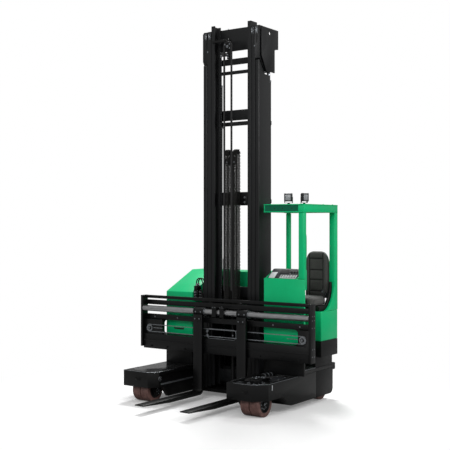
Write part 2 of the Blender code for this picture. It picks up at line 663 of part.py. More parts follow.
seat_low_x = SEAT_CENTRE_X - SEAT_WIDTH / 2
seat_high_x = SEAT_CENTRE_X + SEAT_WIDTH / 2
riser_bottom_z = PEDESTAL_TOP_Z + TOUCH_GAP
cushion_bottom_z = riser_bottom_z + SEAT_RISER + TOUCH_GAP
lining_x = CAB_OUTER_X - FLARE_THICKNESS - SEAT_GAP
lining_rear_y = REAR_Y - GUARD_TUBE - TOUCH_GAP
seat_riser = block("seat_riser", "black_paint", (seat_low_x + SEAT_EDGE * 2, lining_x),
                   (PEDESTAL_FRONT_Y + SEAT_EDGE, lining_rear_y),
                   (riser_bottom_z, riser_bottom_z + SEAT_RISER))
# A plate lines the curve where the rear post meets the pedestal
lining_curve = [
    (REAR_Y - GUARD_TUBE - FLARE_REACH + (FLARE_REACH - LINING_EDGE) * math.cos(angle),
     FLARE_TOP_Z - (flare_height - LINING_EDGE) * math.sin(angle))
    for angle in [math.radians(90 * k / FLARE_STEPS) for k in range(FLARE_STEPS + 1)]]
join(seat_riser, prism(
    "flare_lining", "black_paint",
    lining_curve + [(lining_curve[-1][0], riser_bottom_z), (lining_rear_y, riser_bottom_z),
                    (lining_rear_y, FLARE_TOP_Z)],
    "X", lining_x - LINING_THICKNESS, lining_x))


def rounded_outline(low_u, high_u, low_v, high_v, radius, steps=3):
    return (arc(high_u - radius, low_v + radius, radius, -90, 0, steps)
            + arc(high_u - radius, high_v - radius, radius, 0, 90, steps)
            + arc(low_u + radius, high_v - radius, radius, 90, 180, steps)
            + arc(low_u + radius, low_v + radius, radius, 180, 270, steps))


prism("seat_cushion", "seat_vinyl",
      rounded_outline(CUSHION_FRONT_Y, CUSHION_REAR_Y, cushion_bottom_z,
                      cushion_bottom_z + CUSHION_THICKNESS, SEAT_EDGE * 1.6),
      "X", seat_low_x, seat_high_x, smooth=True)
back_bottom_z = cushion_bottom_z + CUSHION_THICKNESS / 2
shoulder_z = back_bottom_z + BACK_HEIGHT - BACK_SHOULDER_HEIGHT
shoulder = [((SEAT_WIDTH - BACK_TOP_WIDTH) / 2 * math.cos(math.radians(15 * k)),
             shoulder_z + BACK_SHOULDER_HEIGHT * math.sin(math.radians(15 * k)))
            for k in range(7)]
prism("seat_backrest", "seat_vinyl",
      [(seat_low_x + SEAT_EDGE, back_bottom_z), (seat_high_x - SEAT_EDGE, back_bottom_z),
       (seat_high_x, back_bottom_z + SEAT_EDGE)]
      + [(SEAT_CENTRE_X + BACK_TOP_WIDTH / 2 + u, z) for u, z in shoulder]
      + [(SEAT_CENTRE_X - BACK_TOP_WIDTH / 2 - u, z) for u, z in reversed(shoulder)]
      + [(seat_low_x, back_bottom_z + SEAT_EDGE)],
      "Y", max(CUSHION_REAR_Y + TOUCH_GAP, BACK_REAR_Y - BACK_THICKNESS), BACK_REAR_Y,
      smooth=True)

# Mast


def channel(name, side, inner_x, width, rear_y, low, high):
    # An upright channel that opens towards the middle of the mast
    outer_x = inner_x + width
    web_x = outer_x - POST_WEB
    front_y = MAST_FRONT_Y
    outline = [
        (inner_x, front_y), (outer_x, front_y), (outer_x, rear_y), (inner_x, rear_y),
        (inner_x, rear_y - POST_FLANGE), (web_x, rear_y - POST_FLANGE),
        (web_x, front_y + POST_FLANGE), (inner_x, front_y + POST_FLANGE),
    ]
    return prism(name, "mast_steel", [(side * x, y) for x, y in outline], "Z", low, high)


# Mast stages: name, inner edge, post width, rear face, beam depth, beam's reach past the
# rear face, bottom, top. The inner beams stand behind the carriage rollers' way.
STAGES = (
    ("outer", OUTER_POST_X, OUTER_POST_WIDTH, OUTER_POST_REAR_Y, OUTER_BEAM_DEPTH,
     -BEAM_INSET, OUTER_BOTTOM_Z, OUTER_TOP_FRONT_Z),
    ("middle", MIDDLE_POST_X, MIDDLE_POST_WIDTH, MIDDLE_POST_REAR_Y, MIDDLE_BEAM_DEPTH,
     -BEAM_INSET, MIDDLE_BOTTOM_Z, MIDDLE_TOP_Z),
    ("inner", INNER_POST_X, INNER_POST_WIDTH, INNER_POST_REAR_Y, INNER_BEAM_DEPTH,
     INNER_BEAM_OVERHANG, INNER_BOTTOM_Z, INNER_TOP_Z),
)
masts = {}
for stage, inner_x, width, rear_y, beam_depth, overhang, low, high in STAGES:
    mast = channel(stage + "_mast", -1, inner_x, width, rear_y, low, high)
    join(mast, channel(stage + "_right_post", 1, inner_x, width, rear_y, low, high))
    beam_half = inner_x + width - POST_WEB / 2
    beam_number = 0
    for beam_stage, beam_low, beam_high in MAST_BEAMS:
        if beam_stage != stage:
            continue
        beam_number += 1
        join(mast, block("%s_beam_%d" % (stage, beam_number), "mast_steel",
                         (-beam_half, beam_half), (rear_y - beam_depth, rear_y + overhang),
                         (beam_low, beam_high)))
    masts[stage] = mast
    if stage == "outer":
        continue
    # Wear pads at the foot run on the next stage's front flange
    for side_name, side in SIDES:
        join(mast, block("%s_%s_pad" % (side_name, stage), "mast_steel",
                         (side * (inner_x + width - POST_WEB / 2),
                          side * (inner_x + width + RUN_CLEARANCE - TOUCH_GAP)),
                         (MAST_FRONT_Y + POST_WEB / 6, MAST_FRONT_Y + POST_FLANGE),
                         (low + POST_FLANGE, low + POST_FLANGE + WEAR_PAD_HEIGHT)))

# The outer posts end in a slope, and the middle posts carry the head brackets over them
top_slope = (OUTER_TOP_REAR_Z - OUTER_TOP_FRONT_Z) / OUTER_TOP_SLOPE_DEPTH
slope_end_y = MAST_FRONT_Y + OUTER_TOP_SLOPE_DEPTH
cut(masts["outer"], prism(
    "outer_top_cutter", "mast_steel",
    [(MAST_FRONT_Y - CUT_MARGIN, OUTER_TOP_FRONT_Z - top_slope * CUT_MARGIN),
     (slope_end_y, OUTER_TOP_REAR_Z), (OUTER_POST_REAR_Y + CUT_MARGIN, OUTER_TOP_REAR_Z),
     (OUTER_POST_REAR_Y + CUT_MARGIN, OUTER_TOP_FRONT_Z + 2 * CUT_MARGIN),
     (MAST_FRONT_Y - CUT_MARGIN, OUTER_TOP_FRONT_Z + 2 * CUT_MARGIN)],
    "X", -MAST_OUTER_X - CUT_MARGIN, MAST_OUTER_X + CUT_MARGIN))

bracket_inner_x = MAST_OUTER_X + HEAD_BRACKET_GAP
bracket_outer_x = bracket_inner_x + HEAD_BRACKET_THICKNESS
bracket_rear_y = OUTER_POST_REAR_Y + HEAD_BRACKET_REACH
bracket_step_y = bracket_rear_y - HEAD_BRACKET_STEP
bracket_low_z = OUTER_TOP_REAR_Z + HEAD_BRACKET_RISE
head_hood_bottom_z = OUTER_TOP_FRONT_Z + HOOD_PLATE_RISE
for side_name, side in SIDES:
    join(masts["middle"],
         block(side_name + "_head_hood", "mast_steel",
               (side * (MIDDLE_POST_X + POST_WEB / 3), side * MAST_OUTER_X),
               (MAST_FRONT_Y + POST_WEB / 6, MAST_FRONT_Y + HOOD_PLATE_DEPTH),
               (head_hood_bottom_z, MIDDLE_TOP_Z - POST_WEB / 6)),
         block(side_name + "_head_shelf", "mast_steel",
               (side * (MIDDLE_POST_X + MIDDLE_POST_WIDTH / 2), side * bracket_outer_x),
               (MAST_FRONT_Y + HOOD_PLATE_DEPTH / 2, bracket_rear_y - POST_WEB / 2),
               (HEAD_SHELF_Z, HEAD_SHELF_Z + HEAD_SHELF_THICKNESS)),
         prism(side_name + "_head_bracket", "mast_steel",
               [(MAST_FRONT_Y + POST_FLANGE, MIDDLE_TOP_Z - POST_WEB),
                (MAST_FRONT_Y + POST_FLANGE, head_hood_bottom_z + HEAD_BRACKET_CORNER),
                (MAST_FRONT_Y + HEAD_BRACKET_SLOPE, bracket_low_z),
                (bracket_step_y, bracket_low_z),
                (bracket_step_y, HEAD_SHELF_Z), (bracket_rear_y, HEAD_SHELF_Z),
                (bracket_rear_y, MIDDLE_TOP_Z - POST_WEB)],
               "X", *sorted((side * bracket_inner_x, side * bracket_outer_x))),
         # A cheek closes the space over the outer post's sloping top
         prism(side_name + "_head_cheek", "mast_steel",
               [(MAST_FRONT_Y + RUN_CLEARANCE, head_hood_bottom_z + TOUCH_GAP),
                (MAST_FRONT_Y + HEAD_BRACKET_SLOPE, bracket_low_z),
                (OUTER_POST_REAR_Y, bracket_low_z), (OUTER_POST_REAR_Y, HEAD_SHELF_Z + POST_WEB),
                (MAST_FRONT_Y + RUN_CLEARANCE, HEAD_SHELF_Z + POST_WEB)],
               "X", *sorted((side * (MIDDLE_POST_X + MIDDLE_POST_WIDTH - POST_WEB / 2),
                             side * (MAST_OUTER_X - TOUCH_GAP)))))
for side_name, side in SIDES:
    cut(masts["middle"], rod(
        side_name + "_bracket_hole", "mast_steel", HEAD_BRACKET_HOLE_RADIUS, "X",
        (0, HEAD_BRACKET_HOLE_Y, HEAD_BRACKET_HOLE_Z),
        *sorted((side * (bracket_inner_x - HEAD_BRACKET_GAP / 2),
                 side * (bracket_outer_x + CUT_MARGIN))), 16))

# Reach carriage: side plates with rollers in the arms' channels, and a shelf under the mast

plate_outer_x = ARM_INNER_X - REACH_PLATE_GAP
plate_inner_x = plate_outer_x - REACH_PLATE_THICKNESS
reach_roller_z = CHANNEL_BOTTOM_Z + REACH_ROLLER_RADIUS + TOUCH_GAP
reach_bottom_z = OUTER_BOTTOM_Z - TOUCH_GAP - REACH_SHELF_THICKNESS
reach_carriage = block("reach_carriage", "black_paint", (-plate_outer_x, plate_outer_x),
                       (MAST_FRONT_Y, REACH_REAR_Y),
                       (reach_bottom_z, OUTER_BOTTOM_Z - TOUCH_GAP))
for side_name, side in SIDES:
    join(reach_carriage, block(
        side_name + "_reach_plate", "black_paint", (side * plate_inner_x, side * plate_outer_x),
        (MAST_FRONT_Y + TOUCH_GAP, REACH_REAR_Y - TOUCH_GAP),
        (reach_bottom_z + TOUCH_GAP, REACH_WALL_TOP_Z)))
    for roller_number, roller_y in enumerate((MAST_FRONT_Y + REACH_ROLLER_RADIUS * 1.5,
                                              REACH_REAR_Y - REACH_ROLLER_RADIUS * 1.5)):
        join(reach_carriage, rod(
            "%s_reach_roller_%d" % (side_name, roller_number + 1), "bright_steel",
            REACH_ROLLER_RADIUS, "X", (0, roller_y, reach_roller_z),
            *sorted((side * (plate_inner_x + POST_WEB),
                     side * (ARM_INNER_X + REACH_ROLLER_WIDTH)))))

# Lift cylinders behind the outer posts; the rods carry the middle mast's head shelf

for side_name, side in SIDES:
    cylinder_foot = (side * LIFT_CYLINDER_X, LIFT_CYLINDER_Y, 0)
    bore = LIFT_ROD_RADIUS + ROD_CLEARANCE
    turned(side_name + "_lift_barrel", "black_paint",
           [(0, OUTER_BOTTOM_Z), (LIFT_BARREL_RADIUS, OUTER_BOTTOM_Z),
            (LIFT_BARREL_RADIUS, LIFT_BARREL_TOP_Z), (bore, LIFT_BARREL_TOP_Z),
            (bore, LIFT_ROD_BOTTOM_Z - RUN_CLEARANCE), (0, LIFT_ROD_BOTTOM_Z - RUN_CLEARANCE)],
           "Z", cylinder_foot, 24)
    rod(side_name + "_lift_rod", "bright_steel", LIFT_ROD_RADIUS, "Z", cylinder_foot,
        LIFT_ROD_BOTTOM_Z, HEAD_SHELF_Z - TOUCH_GAP, 24)

# Free-lift cylinder in the inner mast

free_centre = (FREE_LIFT_X, FREE_LIFT_Y, 0)
free_bore = FREE_ROD_RADIUS + ROD_CLEARANCE
free_foot_z = INNER_BOTTOM_Z + FREE_FOOT_HEIGHT
free_lift_barrel = turned(
       "free_lift_barrel", "black_paint",
       [(0, free_foot_z), (FREE_BARREL_RADIUS, free_foot_z),
        (FREE_BARREL_RADIUS, FREE_BARREL_TOP_Z), (free_bore, FREE_BARREL_TOP_Z),
        (free_bore, FREE_ROD_BOTTOM_Z - RUN_CLEARANCE), (0, FREE_ROD_BOTTOM_Z - RUN_CLEARANCE)],
       "Z", free_centre, 24)
join(free_lift_barrel, block(
    "free_lift_foot", "black_paint",
    (FREE_LIFT_X - FREE_BARREL_RADIUS * 1.5, FREE_LIFT_X + FREE_BARREL_RADIUS * 1.5),
    (FREE_LIFT_Y - FREE_BARREL_RADIUS / 2, INNER_POST_REAR_Y - INNER_BEAM_DEPTH - TOUCH_GAP),
    (free_foot_z + POST_WEB / 4, free_foot_z + FREE_HEAD_HEIGHT / 2)))
free_lift_head = rod("free_lift_head", "bright_steel", FREE_ROD_RADIUS, "Z", free_centre,
                     FREE_ROD_BOTTOM_Z, FREE_HEAD_Z + FREE_HEAD_HEIGHT / 2, 24)
chain_xs = (FREE_LIFT_X - CHAIN_SPACING / 2, FREE_LIFT_X + CHAIN_SPACING / 2)
head_front_y = CHAIN_CENTRE_Y - CHAIN_PULLEY_RADIUS + CHAIN_THICKNESS / 2
crosshead_inset = CHAIN_WIDTH / 2 + TOUCH_GAP
join(free_lift_head, block(
    "crosshead", "black_paint",
    (chain_xs[0] + crosshead_inset, chain_xs[1] - crosshead_inset),
    (head_front_y, FREE_LIFT_Y + FREE_BARREL_RADIUS),
    (FREE_HEAD_Z, FREE_HEAD_Z + FREE_HEAD_HEIGHT)))
pulley_bore = CHAIN_PULLEY_RADIUS - TOUCH_GAP
for pulley_number, pulley_x in enumerate(chain_xs):
    join(free_lift_head, rod(
        "chain_pulley_%d" % (pulley_number + 1), "bright_steel", pulley_bore, "X",
        (pulley_x, CHAIN_CENTRE_Y, CHAIN_PULLEY_Z), -CHAIN_WIDTH / 2, CHAIN_WIDTH / 2, 20))
join(free_lift_head, rod(
    "pulley_axle", "bright_steel", CHAIN_PIN_RADIUS, "X",
    (0, CHAIN_CENTRE_Y, CHAIN_PULLEY_Z), chain_xs[0] - CHAIN_WIDTH / 3,
    chain_xs[1] + CHAIN_WIDTH / 3, 16))
join(free_lift_head, block(
    "axle_cheek", "black_paint",
    (chain_xs[0] + crosshead_inset, chain_xs[1] - crosshead_inset),
    (CHAIN_CENTRE_Y - CHAIN_PIN_RADIUS * 1.5, CHAIN_CENTRE_Y + CHAIN_PIN_RADIUS * 1.5),
    (FREE_HEAD_Z + FREE_HEAD_HEIGHT / 2, CHAIN_PULLEY_Z + CHAIN_PIN_RADIUS * 2)))

# Two lift chains run up the front, over their pulleys and down behind them; the anchor bar
# at their front ends joins them
chain_outer = CHAIN_PULLEY_RADIUS + CHAIN_THICKNESS
chain_outline = ([(CHAIN_CENTRE_Y - chain_outer, CHAIN_BOTTOM_Z)]
                 + arc(CHAIN_CENTRE_Y, CHAIN_PULLEY_Z, chain_outer, 180, 0, 10)
                 + [(CHAIN_CENTRE_Y + chain_outer, CHAIN_BOTTOM_Z),
                    (CHAIN_CENTRE_Y + CHAIN_PULLEY_RADIUS, CHAIN_BOTTOM_Z)]
                 + arc(CHAIN_CENTRE_Y, CHAIN_PULLEY_Z, CHAIN_PULLEY_RADIUS, 0, 180, 10)
                 + [(CHAIN_CENTRE_Y - CHAIN_PULLEY_RADIUS, CHAIN_BOTTOM_Z)])
chain_pair = [prism(name, "chain_steel", chain_outline, "X",
                    x - CHAIN_WIDTH / 2, x + CHAIN_WIDTH / 2)
              for name, x in zip(("lift_chains", "right_chain"), chain_xs)]
join(chain_pair[0], chain_pair[1], block(
    "chain_anchor", "chain_steel", chain_xs,
    (CHAIN_CENTRE_Y - chain_outer, CHAIN_CENTRE_Y - CHAIN_PULLEY_RADIUS),
    (CHAIN_BOTTOM_Z, CHAIN_BOTTOM_Z + CHAIN_WIDTH / 2)))

# Hose loop over a sheave that an arm carries out from the inner mast's left post

sheave_radius = HOSE_LOOP_RADIUS - HOSE_RADIUS - TOUCH_GAP
hose_sheave = rod("hose_sheave", "bright_steel", sheave_radius, "Y",
                  (HOSE_X, HOSE_Y, HOSE_LOOP_Z), -SHEAVE_THICKNESS / 2, SHEAVE_THICKNESS / 2, 24)
sheave_arm_rear_y = MAST_FRONT_Y - TOUCH_GAP
sheave_arm_low_z = HOSE_LOOP_Z + HOSE_LOOP_RADIUS + HOSE_RADIUS + RUN_CLEARANCE
join(hose_sheave,
     block("sheave_drop", "black_paint", (HOSE_X - HOSE_RADIUS * 2, HOSE_X + HOSE_RADIUS * 2),
           (HOSE_Y + HOSE_RADIUS + TOUCH_GAP, sheave_arm_rear_y - RUN_CLEARANCE),
           (HOSE_LOOP_Z - HOSE_RADIUS * 2, sheave_arm_low_z + SHEAVE_THICKNESS)),
     block("sheave_axle", "black_paint", (HOSE_X - HOSE_RADIUS, HOSE_X + HOSE_RADIUS),
           (HOSE_Y, sheave_arm_rear_y - RUN_CLEARANCE * 2),
           (HOSE_LOOP_Z - HOSE_RADIUS, HOSE_LOOP_Z + HOSE_RADIUS)),
     block("sheave_arm", "black_paint", (-INNER_POST_X - INNER_POST_WIDTH / 2, HOSE_X),
           (sheave_arm_rear_y - SHEAVE_THICKNESS, sheave_arm_rear_y),
           (sheave_arm_low_z, sheave_arm_low_z + SHEAVE_THICKNESS * 2)))


def hose(name, route, radius):
    # A bevelled curve with filled caps along the route
    curve = bpy.data.curves.new(name, "CURVE")
    curve.dimensions = "3D"
    curve.bevel_depth = radius
    curve.bevel_resolution = 2
    curve.use_fill_caps = True
    spline = curve.splines.new("POLY")
    spline.points.add(len(route) - 1)
    for point, place in zip(spline.points, route):
        point.co = (*place, 1.0)
    piece = bpy.data.objects.new(name, curve)
    bpy.context.collection.objects.link(piece)
    curve.materials.append(finish_material("rubber"))
    return piece


hose_arc = arc(HOSE_X, HOSE_LOOP_Z, HOSE_LOOP_RADIUS, 180, 0, 14)
hose("hose_loop", [(HOSE_X - HOSE_LOOP_RADIUS, HOSE_Y, HOSE_BOTTOM_Z)]
     + [(x, HOSE_Y, z) for x, z in hose_arc]
     + [(HOSE_X + HOSE_LOOP_RADIUS, HOSE_Y, HOSE_BOTTOM_Z)], HOSE_RADIUS)

# Fork carriage: rails, plates and a round shaft between two end plates

inner_half = CARRIAGE_HALF_WIDTH - END_PLATE_THICKNESS - TOUCH_GAP
bracket_bore = SHAFT_RADIUS + TOUCH_GAP
lug_low_z = SHAFT_Z - SHAFT_RADIUS - SHAFT_BRACKET_WALL
rail_rows = (
    ("carriage_top_rail", CARRIAGE_TOP_Z - TOP_RAIL_HEIGHT, CARRIAGE_TOP_Z, RAIL_REAR_Y),
    ("carriage_band", BAND_BOTTOM_Z, BAND_BOTTOM_Z + BAND_HEIGHT, RAIL_REAR_Y),
    ("carriage_upper_plate", UPPER_PLATE_BOTTOM_Z, UPPER_PLATE_BOTTOM_Z + UPPER_PLATE_HEIGHT,
     RAIL_REAR_Y),
)
rails = {}
for name, low, high, rear_y in rail_rows:
    rails[name] = block(name, "black_paint", (-inner_half, inner_half), (RAIL_FRONT_Y, rear_y),
                        (low, high))
# Two lugs on the band hold the shaft's middle
band = rails["carriage_band"]
lug_low_x, lug_high_x = SHAFT_BRACKET_XS
for lug_name, lug_x in (("left", lug_low_x), ("right", lug_high_x - SHAFT_BRACKET_LUG)):
    join(band, block(lug_name + "_shaft_lug", "black_paint", (lug_x, lug_x + SHAFT_BRACKET_LUG),
                     (SHAFT_Y - SHAFT_RADIUS - SHAFT_BRACKET_WALL, RAIL_REAR_Y - TOUCH_GAP),
                     (lug_low_z, BAND_BOTTOM_Z + SHAFT_BRACKET_WALL)))
cut(band, rod("shaft_bore_cutter", "black_paint", bracket_bore, "X", (0, SHAFT_Y, SHAFT_Z),
              lug_low_x - CUT_MARGIN, lug_high_x + CUT_MARGIN))
rod("carriage_shaft", "bright_steel", SHAFT_RADIUS, "X", (0, SHAFT_Y, SHAFT_Z),
    -inner_half, inner_half)

lower_top_z = LOWER_PLATE_BOTTOM_Z + LOWER_PLATE_HEIGHT
lower_plate = block("carriage_lower_plate", "black_paint", (-inner_half, inner_half),
                    (LOWER_PLATE_FRONT_Y, RAIL_REAR_Y), (LOWER_PLATE_BOTTOM_Z, lower_top_z))
for side_name, side, gusset_width, in (("left", -1, LEFT_GUSSET_WIDTH),
                                       ("right", 1, RIGHT_GUSSET_WIDTH)):
    join(lower_plate, block(
        side_name + "_gusset", "black_paint",
        (side * inner_half, side * (inner_half - gusset_width)),
        (GUSSET_FRONT_Y, RAIL_REAR_Y),
        (lower_top_z - TRAY_DEPTH, UPPER_PLATE_BOTTOM_Z - TOUCH_GAP)))

for side_name, side, bottom_z in (("left", -1, LEFT_END_BOTTOM_Z),
                                  ("right", 1, RIGHT_END_BOTTOM_Z)):
    block(side_name + "_end_plate", "black_paint",
          (side * (CARRIAGE_HALF_WIDTH - END_PLATE_THICKNESS), side * CARRIAGE_HALF_WIDTH),
          (CARRIAGE_FRONT_Y, CARRIAGE_FRONT_Y + END_PLATE_DEPTH), (bottom_z, CARRIAGE_TOP_Z))
    hanger = block(side_name + "_hanger", "black_paint",
                   (side * HANGER_X, side * (HANGER_X + HANGER_THICKNESS)),
                   (RAIL_REAR_Y + TOUCH_GAP, HANGER_REAR_Y), (HANGER_BOTTOM_Z, HANGER_TOP_Z))
    # Its rollers run between the flanges of the inner mast's channel
    roller_y = MAST_FRONT_Y + INNER_POST_DEPTH / 2
    roller_radius = INNER_POST_DEPTH / 2 - POST_FLANGE - TOUCH_GAP
    for roller_number, roller_z in enumerate(CARRIAGE_ROLLER_ZS):
        join(hanger, rod(
            "%s_carriage_roller_%d" % (side_name, roller_number + 1), "bright_steel",
            roller_radius, "X", (0, roller_y, roller_z),
            *sorted((side * (HANGER_X + HANGER_THICKNESS / 2),
                     side * (INNER_POST_X + INNER_POST_WIDTH - POST_WEB - RUN_CLEARANCE)))))

# The positioner's loop of chain lies in front of the window, round the gussets' pulleys
loop_front_y = GUSSET_FRONT_Y - TOUCH_GAP - LOOP_DEPTH


def stadium(half_length, centre_z, radius, steps=10):
    return (arc(half_length, centre_z, radius, -90, 90, steps)
            + arc(-half_length, centre_z, radius, 90, 270, steps))


positioner = prism("positioner_loop", "chain_steel", stadium(LOOP_X, LOOP_Z, LOOP_RADIUS), "Y",
                   loop_front_y, loop_front_y + LOOP_DEPTH)
cut(positioner, prism("loop_cutter", "chain_steel",
                      stadium(LOOP_X, LOOP_Z, LOOP_RADIUS - LOOP_STRAND), "Y",
                      loop_front_y - CUT_MARGIN, loop_front_y + CUT_MARGIN))

# Forks: a blade, a heel, a shank and a sleeve on the shaft

sleeve_bore = SHAFT_RADIUS + SLEEVE_CLEARANCE
sleeve_outer = sleeve_bore + SLEEVE_WALL
shank_rear_y = FORK_SHANK_FRONT_Y + FORK_THICKNESS
fork_bottom_z = FORK_TOP_Z - FORK_THICKNESS
heel_centre_y = shank_rear_y - FORK_HEEL_RADIUS
heel_centre_z = fork_bottom_z + FORK_HEEL_RADIUS
fork_outline = (
    [(FORK_TIP_Y, FORK_TOP_Z - FORK_TIP_THICKNESS),
     (FORK_TIP_Y + FORK_TAPER_LENGTH, fork_bottom_z)]
    + arc(heel_centre_y, heel_centre_z, FORK_HEEL_RADIUS, -90, 0, 6)
    + [(shank_rear_y, FORK_TOP_END_Z), (FORK_SHANK_FRONT_Y, FORK_TOP_END_Z)]
    + arc(heel_centre_y, heel_centre_z, FORK_HEEL_RADIUS - FORK_THICKNESS, 0, -90, 4)
    + [(FORK_TIP_Y, FORK_TOP_Z)]
)
for side_name, side in SIDES:
    fork_x = side * FORK_X
    fork = prism(side_name + "_fork", "black_paint", fork_outline, "X",
                 fork_x - FORK_WIDTH / 2, fork_x + FORK_WIDTH / 2)
    sleeve = pipe(side_name + "_sleeve", "black_paint", sleeve_bore, sleeve_outer, "X",
                  (fork_x, SHAFT_Y, SHAFT_Z), -SLEEVE_WIDTH / 2, SLEEVE_WIDTH / 2)
    join(fork, sleeve)

# Wheels: a knuckle under its turntable, a bolted hub and a twin tread

half_width = WHEEL_WIDTH / 2
half_groove = TREAD_GROOVE / 2
hub_fit = HUB_RADIUS + TOUCH_GAP
groove_radius = WHEEL_RADIUS - TREAD_GROOVE_DEPTH
shoulder = WHEEL_RADIUS - TREAD_CHAMFER
tread_profile = [
    (hub_fit, -half_width), (shoulder, -half_width), (WHEEL_RADIUS, -half_width + TREAD_CHAMFER),
    (WHEEL_RADIUS, -half_groove), (groove_radius, -half_groove), (groove_radius, half_groove),
    (WHEEL_RADIUS, half_groove), (WHEEL_RADIUS, half_width - TREAD_CHAMFER),
    (shoulder, half_width), (hub_fit, half_width),
]
axle_bore = AXLE_RADIUS + TOUCH_GAP
rim_radius = HUB_RADIUS - HUB_RECESS / 2
WHEELS = (
    ("front_left", -1, FRONT_KINGPIN_X, FRONT_KINGPIN_Y),
    ("front_right", 1, FRONT_KINGPIN_X, FRONT_KINGPIN_Y),
    ("rear_left", -1, REAR_KINGPIN_X, REAR_KINGPIN_Y),
    ("rear_right", 1, REAR_KINGPIN_X, REAR_KINGPIN_Y),
)
for name, side, kingpin_x, kingpin_y in WHEELS:
    centre = (side * kingpin_x, kingpin_y, WHEEL_RADIUS)
    turned(name + "_tread", "brown_tread", tread_profile, "X", centre)
    # The hub's outer face is dished, and its inner face is bored for the axle
    hub_profile = [
        (0, half_width - HUB_RECESS), (rim_radius, half_width - HUB_RECESS),
        (rim_radius, half_width), (HUB_RADIUS, half_width), (HUB_RADIUS, -half_width),
        (axle_bore, -half_width), (axle_bore, -half_width + AXLE_LENGTH),
        (0, -half_width + AXLE_LENGTH),
    ]
    turned(name + "_hub", "black_paint", [(r, side * v) for r, v in hub_profile], "X", centre)
    turntable_low_z = CAVITY_TOP_Z - TURNTABLE_THICKNESS
    knuckle = rod(name + "_knuckle", "black_paint", TURNTABLE_RADIUS, "Z",
                  (side * kingpin_x, kingpin_y, 0), turntable_low_z, CAVITY_TOP_Z - TOUCH_GAP)
    leg_outer = side * (kingpin_x - half_width - RUN_CLEARANCE)
    leg_inner = leg_outer - side * LEG_THICKNESS
    leg = block(name + "_leg", "black_paint", (leg_inner, leg_outer),
                (kingpin_y - LEG_WIDTH / 2, kingpin_y + LEG_WIDTH / 2),
                (WHEEL_RADIUS - LEG_WIDTH / 2, turntable_low_z + TOUCH_GAP))
    axle = rod(name + "_axle", "bright_steel", AXLE_RADIUS, "X", (0, kingpin_y, WHEEL_RADIUS),
               *sorted((leg_inner + side * TOUCH_GAP,
                        leg_outer + side * (AXLE_LENGTH - TOUCH_GAP))), 20)
    join(knuckle, leg, axle)
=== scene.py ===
import json
import math

import bmesh
import bpy
from mathutils import Matrix, Vector


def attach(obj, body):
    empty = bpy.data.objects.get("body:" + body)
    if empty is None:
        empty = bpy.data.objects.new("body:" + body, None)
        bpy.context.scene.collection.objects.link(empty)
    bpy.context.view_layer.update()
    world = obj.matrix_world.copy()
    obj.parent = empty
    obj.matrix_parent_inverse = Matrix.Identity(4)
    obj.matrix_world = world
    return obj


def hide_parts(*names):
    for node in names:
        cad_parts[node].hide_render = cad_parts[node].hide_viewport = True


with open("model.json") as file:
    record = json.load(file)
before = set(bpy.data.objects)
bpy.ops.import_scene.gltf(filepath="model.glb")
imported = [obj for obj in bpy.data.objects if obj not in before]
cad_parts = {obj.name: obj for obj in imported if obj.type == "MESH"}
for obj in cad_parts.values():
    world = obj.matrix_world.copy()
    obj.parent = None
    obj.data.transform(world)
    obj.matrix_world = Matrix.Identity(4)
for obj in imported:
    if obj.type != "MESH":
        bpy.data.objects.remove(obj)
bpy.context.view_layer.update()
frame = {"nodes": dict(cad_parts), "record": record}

# Looks of a multidirectional forklift: finishes, softened panel edges, seat, chains, wheels and
# fittings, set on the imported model. Metres, +Z up, -Y towards the load, +X towards the cab.

print("stage: frame loaded")

# Camera: level, turned 35 degrees, framed for a square picture
camera = {"place": (5.93, -8.355, 2.0), "turn": 35.0, "lens": 72.8}

cameraData = bpy.data.cameras.new("camera")
cameraData.lens = camera["lens"]
cameraObject = bpy.data.objects.new("camera", cameraData)
cameraObject.location = camera["place"]
cameraObject.rotation_euler = (math.radians(90), 0, math.radians(camera["turn"]))
bpy.context.collection.objects.link(cameraObject)
bpy.context.scene.camera = cameraObject
bpy.context.scene.view_settings.view_transform = "Standard"


def hexColour(text):
    # sRGB hex to the linear values that shaders use
    channels = [int(text[i:i + 2], 16) / 255 for i in (1, 3, 5)]
    return tuple(c / 12.92 if c <= 0.04045 else ((c + 0.055) / 1.055) ** 2.4
                 for c in channels) + (1.0,)


def addNode(tree, kind, inputs=None, **settings):
    # One node with its settings, constants and links
    node = tree.nodes.new(kind)
    for key, value in settings.items():
        setattr(node, key, value)
    for key, value in (inputs or {}).items():
        if isinstance(value, bpy.types.NodeSocket):
            tree.links.new(value, node.inputs[key])
        else:
            node.inputs[key].default_value = value
    return node


def startMaterial(name):
    material = bpy.data.materials.new(name)
    material.use_nodes = True
    tree = material.node_tree
    tree.nodes.clear()
    where = addNode(tree, "ShaderNodeTexCoord").outputs["Object"]
    return material, tree, where


def endMaterial(tree, shader):
    addNode(tree, "ShaderNodeOutputMaterial", {"Surface": shader.outputs[0]})


def ramp(tree, factor, stops):
    node = addNode(tree, "ShaderNodeValToRGB", {"Fac": factor})
    while len(node.color_ramp.elements) < len(stops):
        node.color_ramp.elements.new(0.5)
    for element, (place, colour) in zip(node.color_ramp.elements, stops):
        element.position = place
        element.color = colour
    return node.outputs["Color"]


# Stage: floor and backdrop are one pale sheet, lamps are large and soft
studio = {
    "floor": "#F2F2F2", "background": "#FFFFFF", "worldLight": 0.40,
    "floorBounce": "#9A9A9A", "floorLift": 0.15, "floorHalf": 60.0,
    # The floor turns wholly white between these distances from the middle
    "fadeStart": 1.5, "fadeEnd": 3.2,
    # name, place, aim, size, power
    "lamps": (
        ("keyLamp", (-2.5, 4.5, 9.5), (0.0, -0.2, 1.0), 3.2, 900),
        ("frontLamp", (2.5, -8.5, 5.5), (0.0, 0.0, 1.6), 4.5, 330),
        ("sideLamp", (8.5, 1.0, 5.0), (0.4, 0.3, 1.6), 4.0, 260),
    ),
}


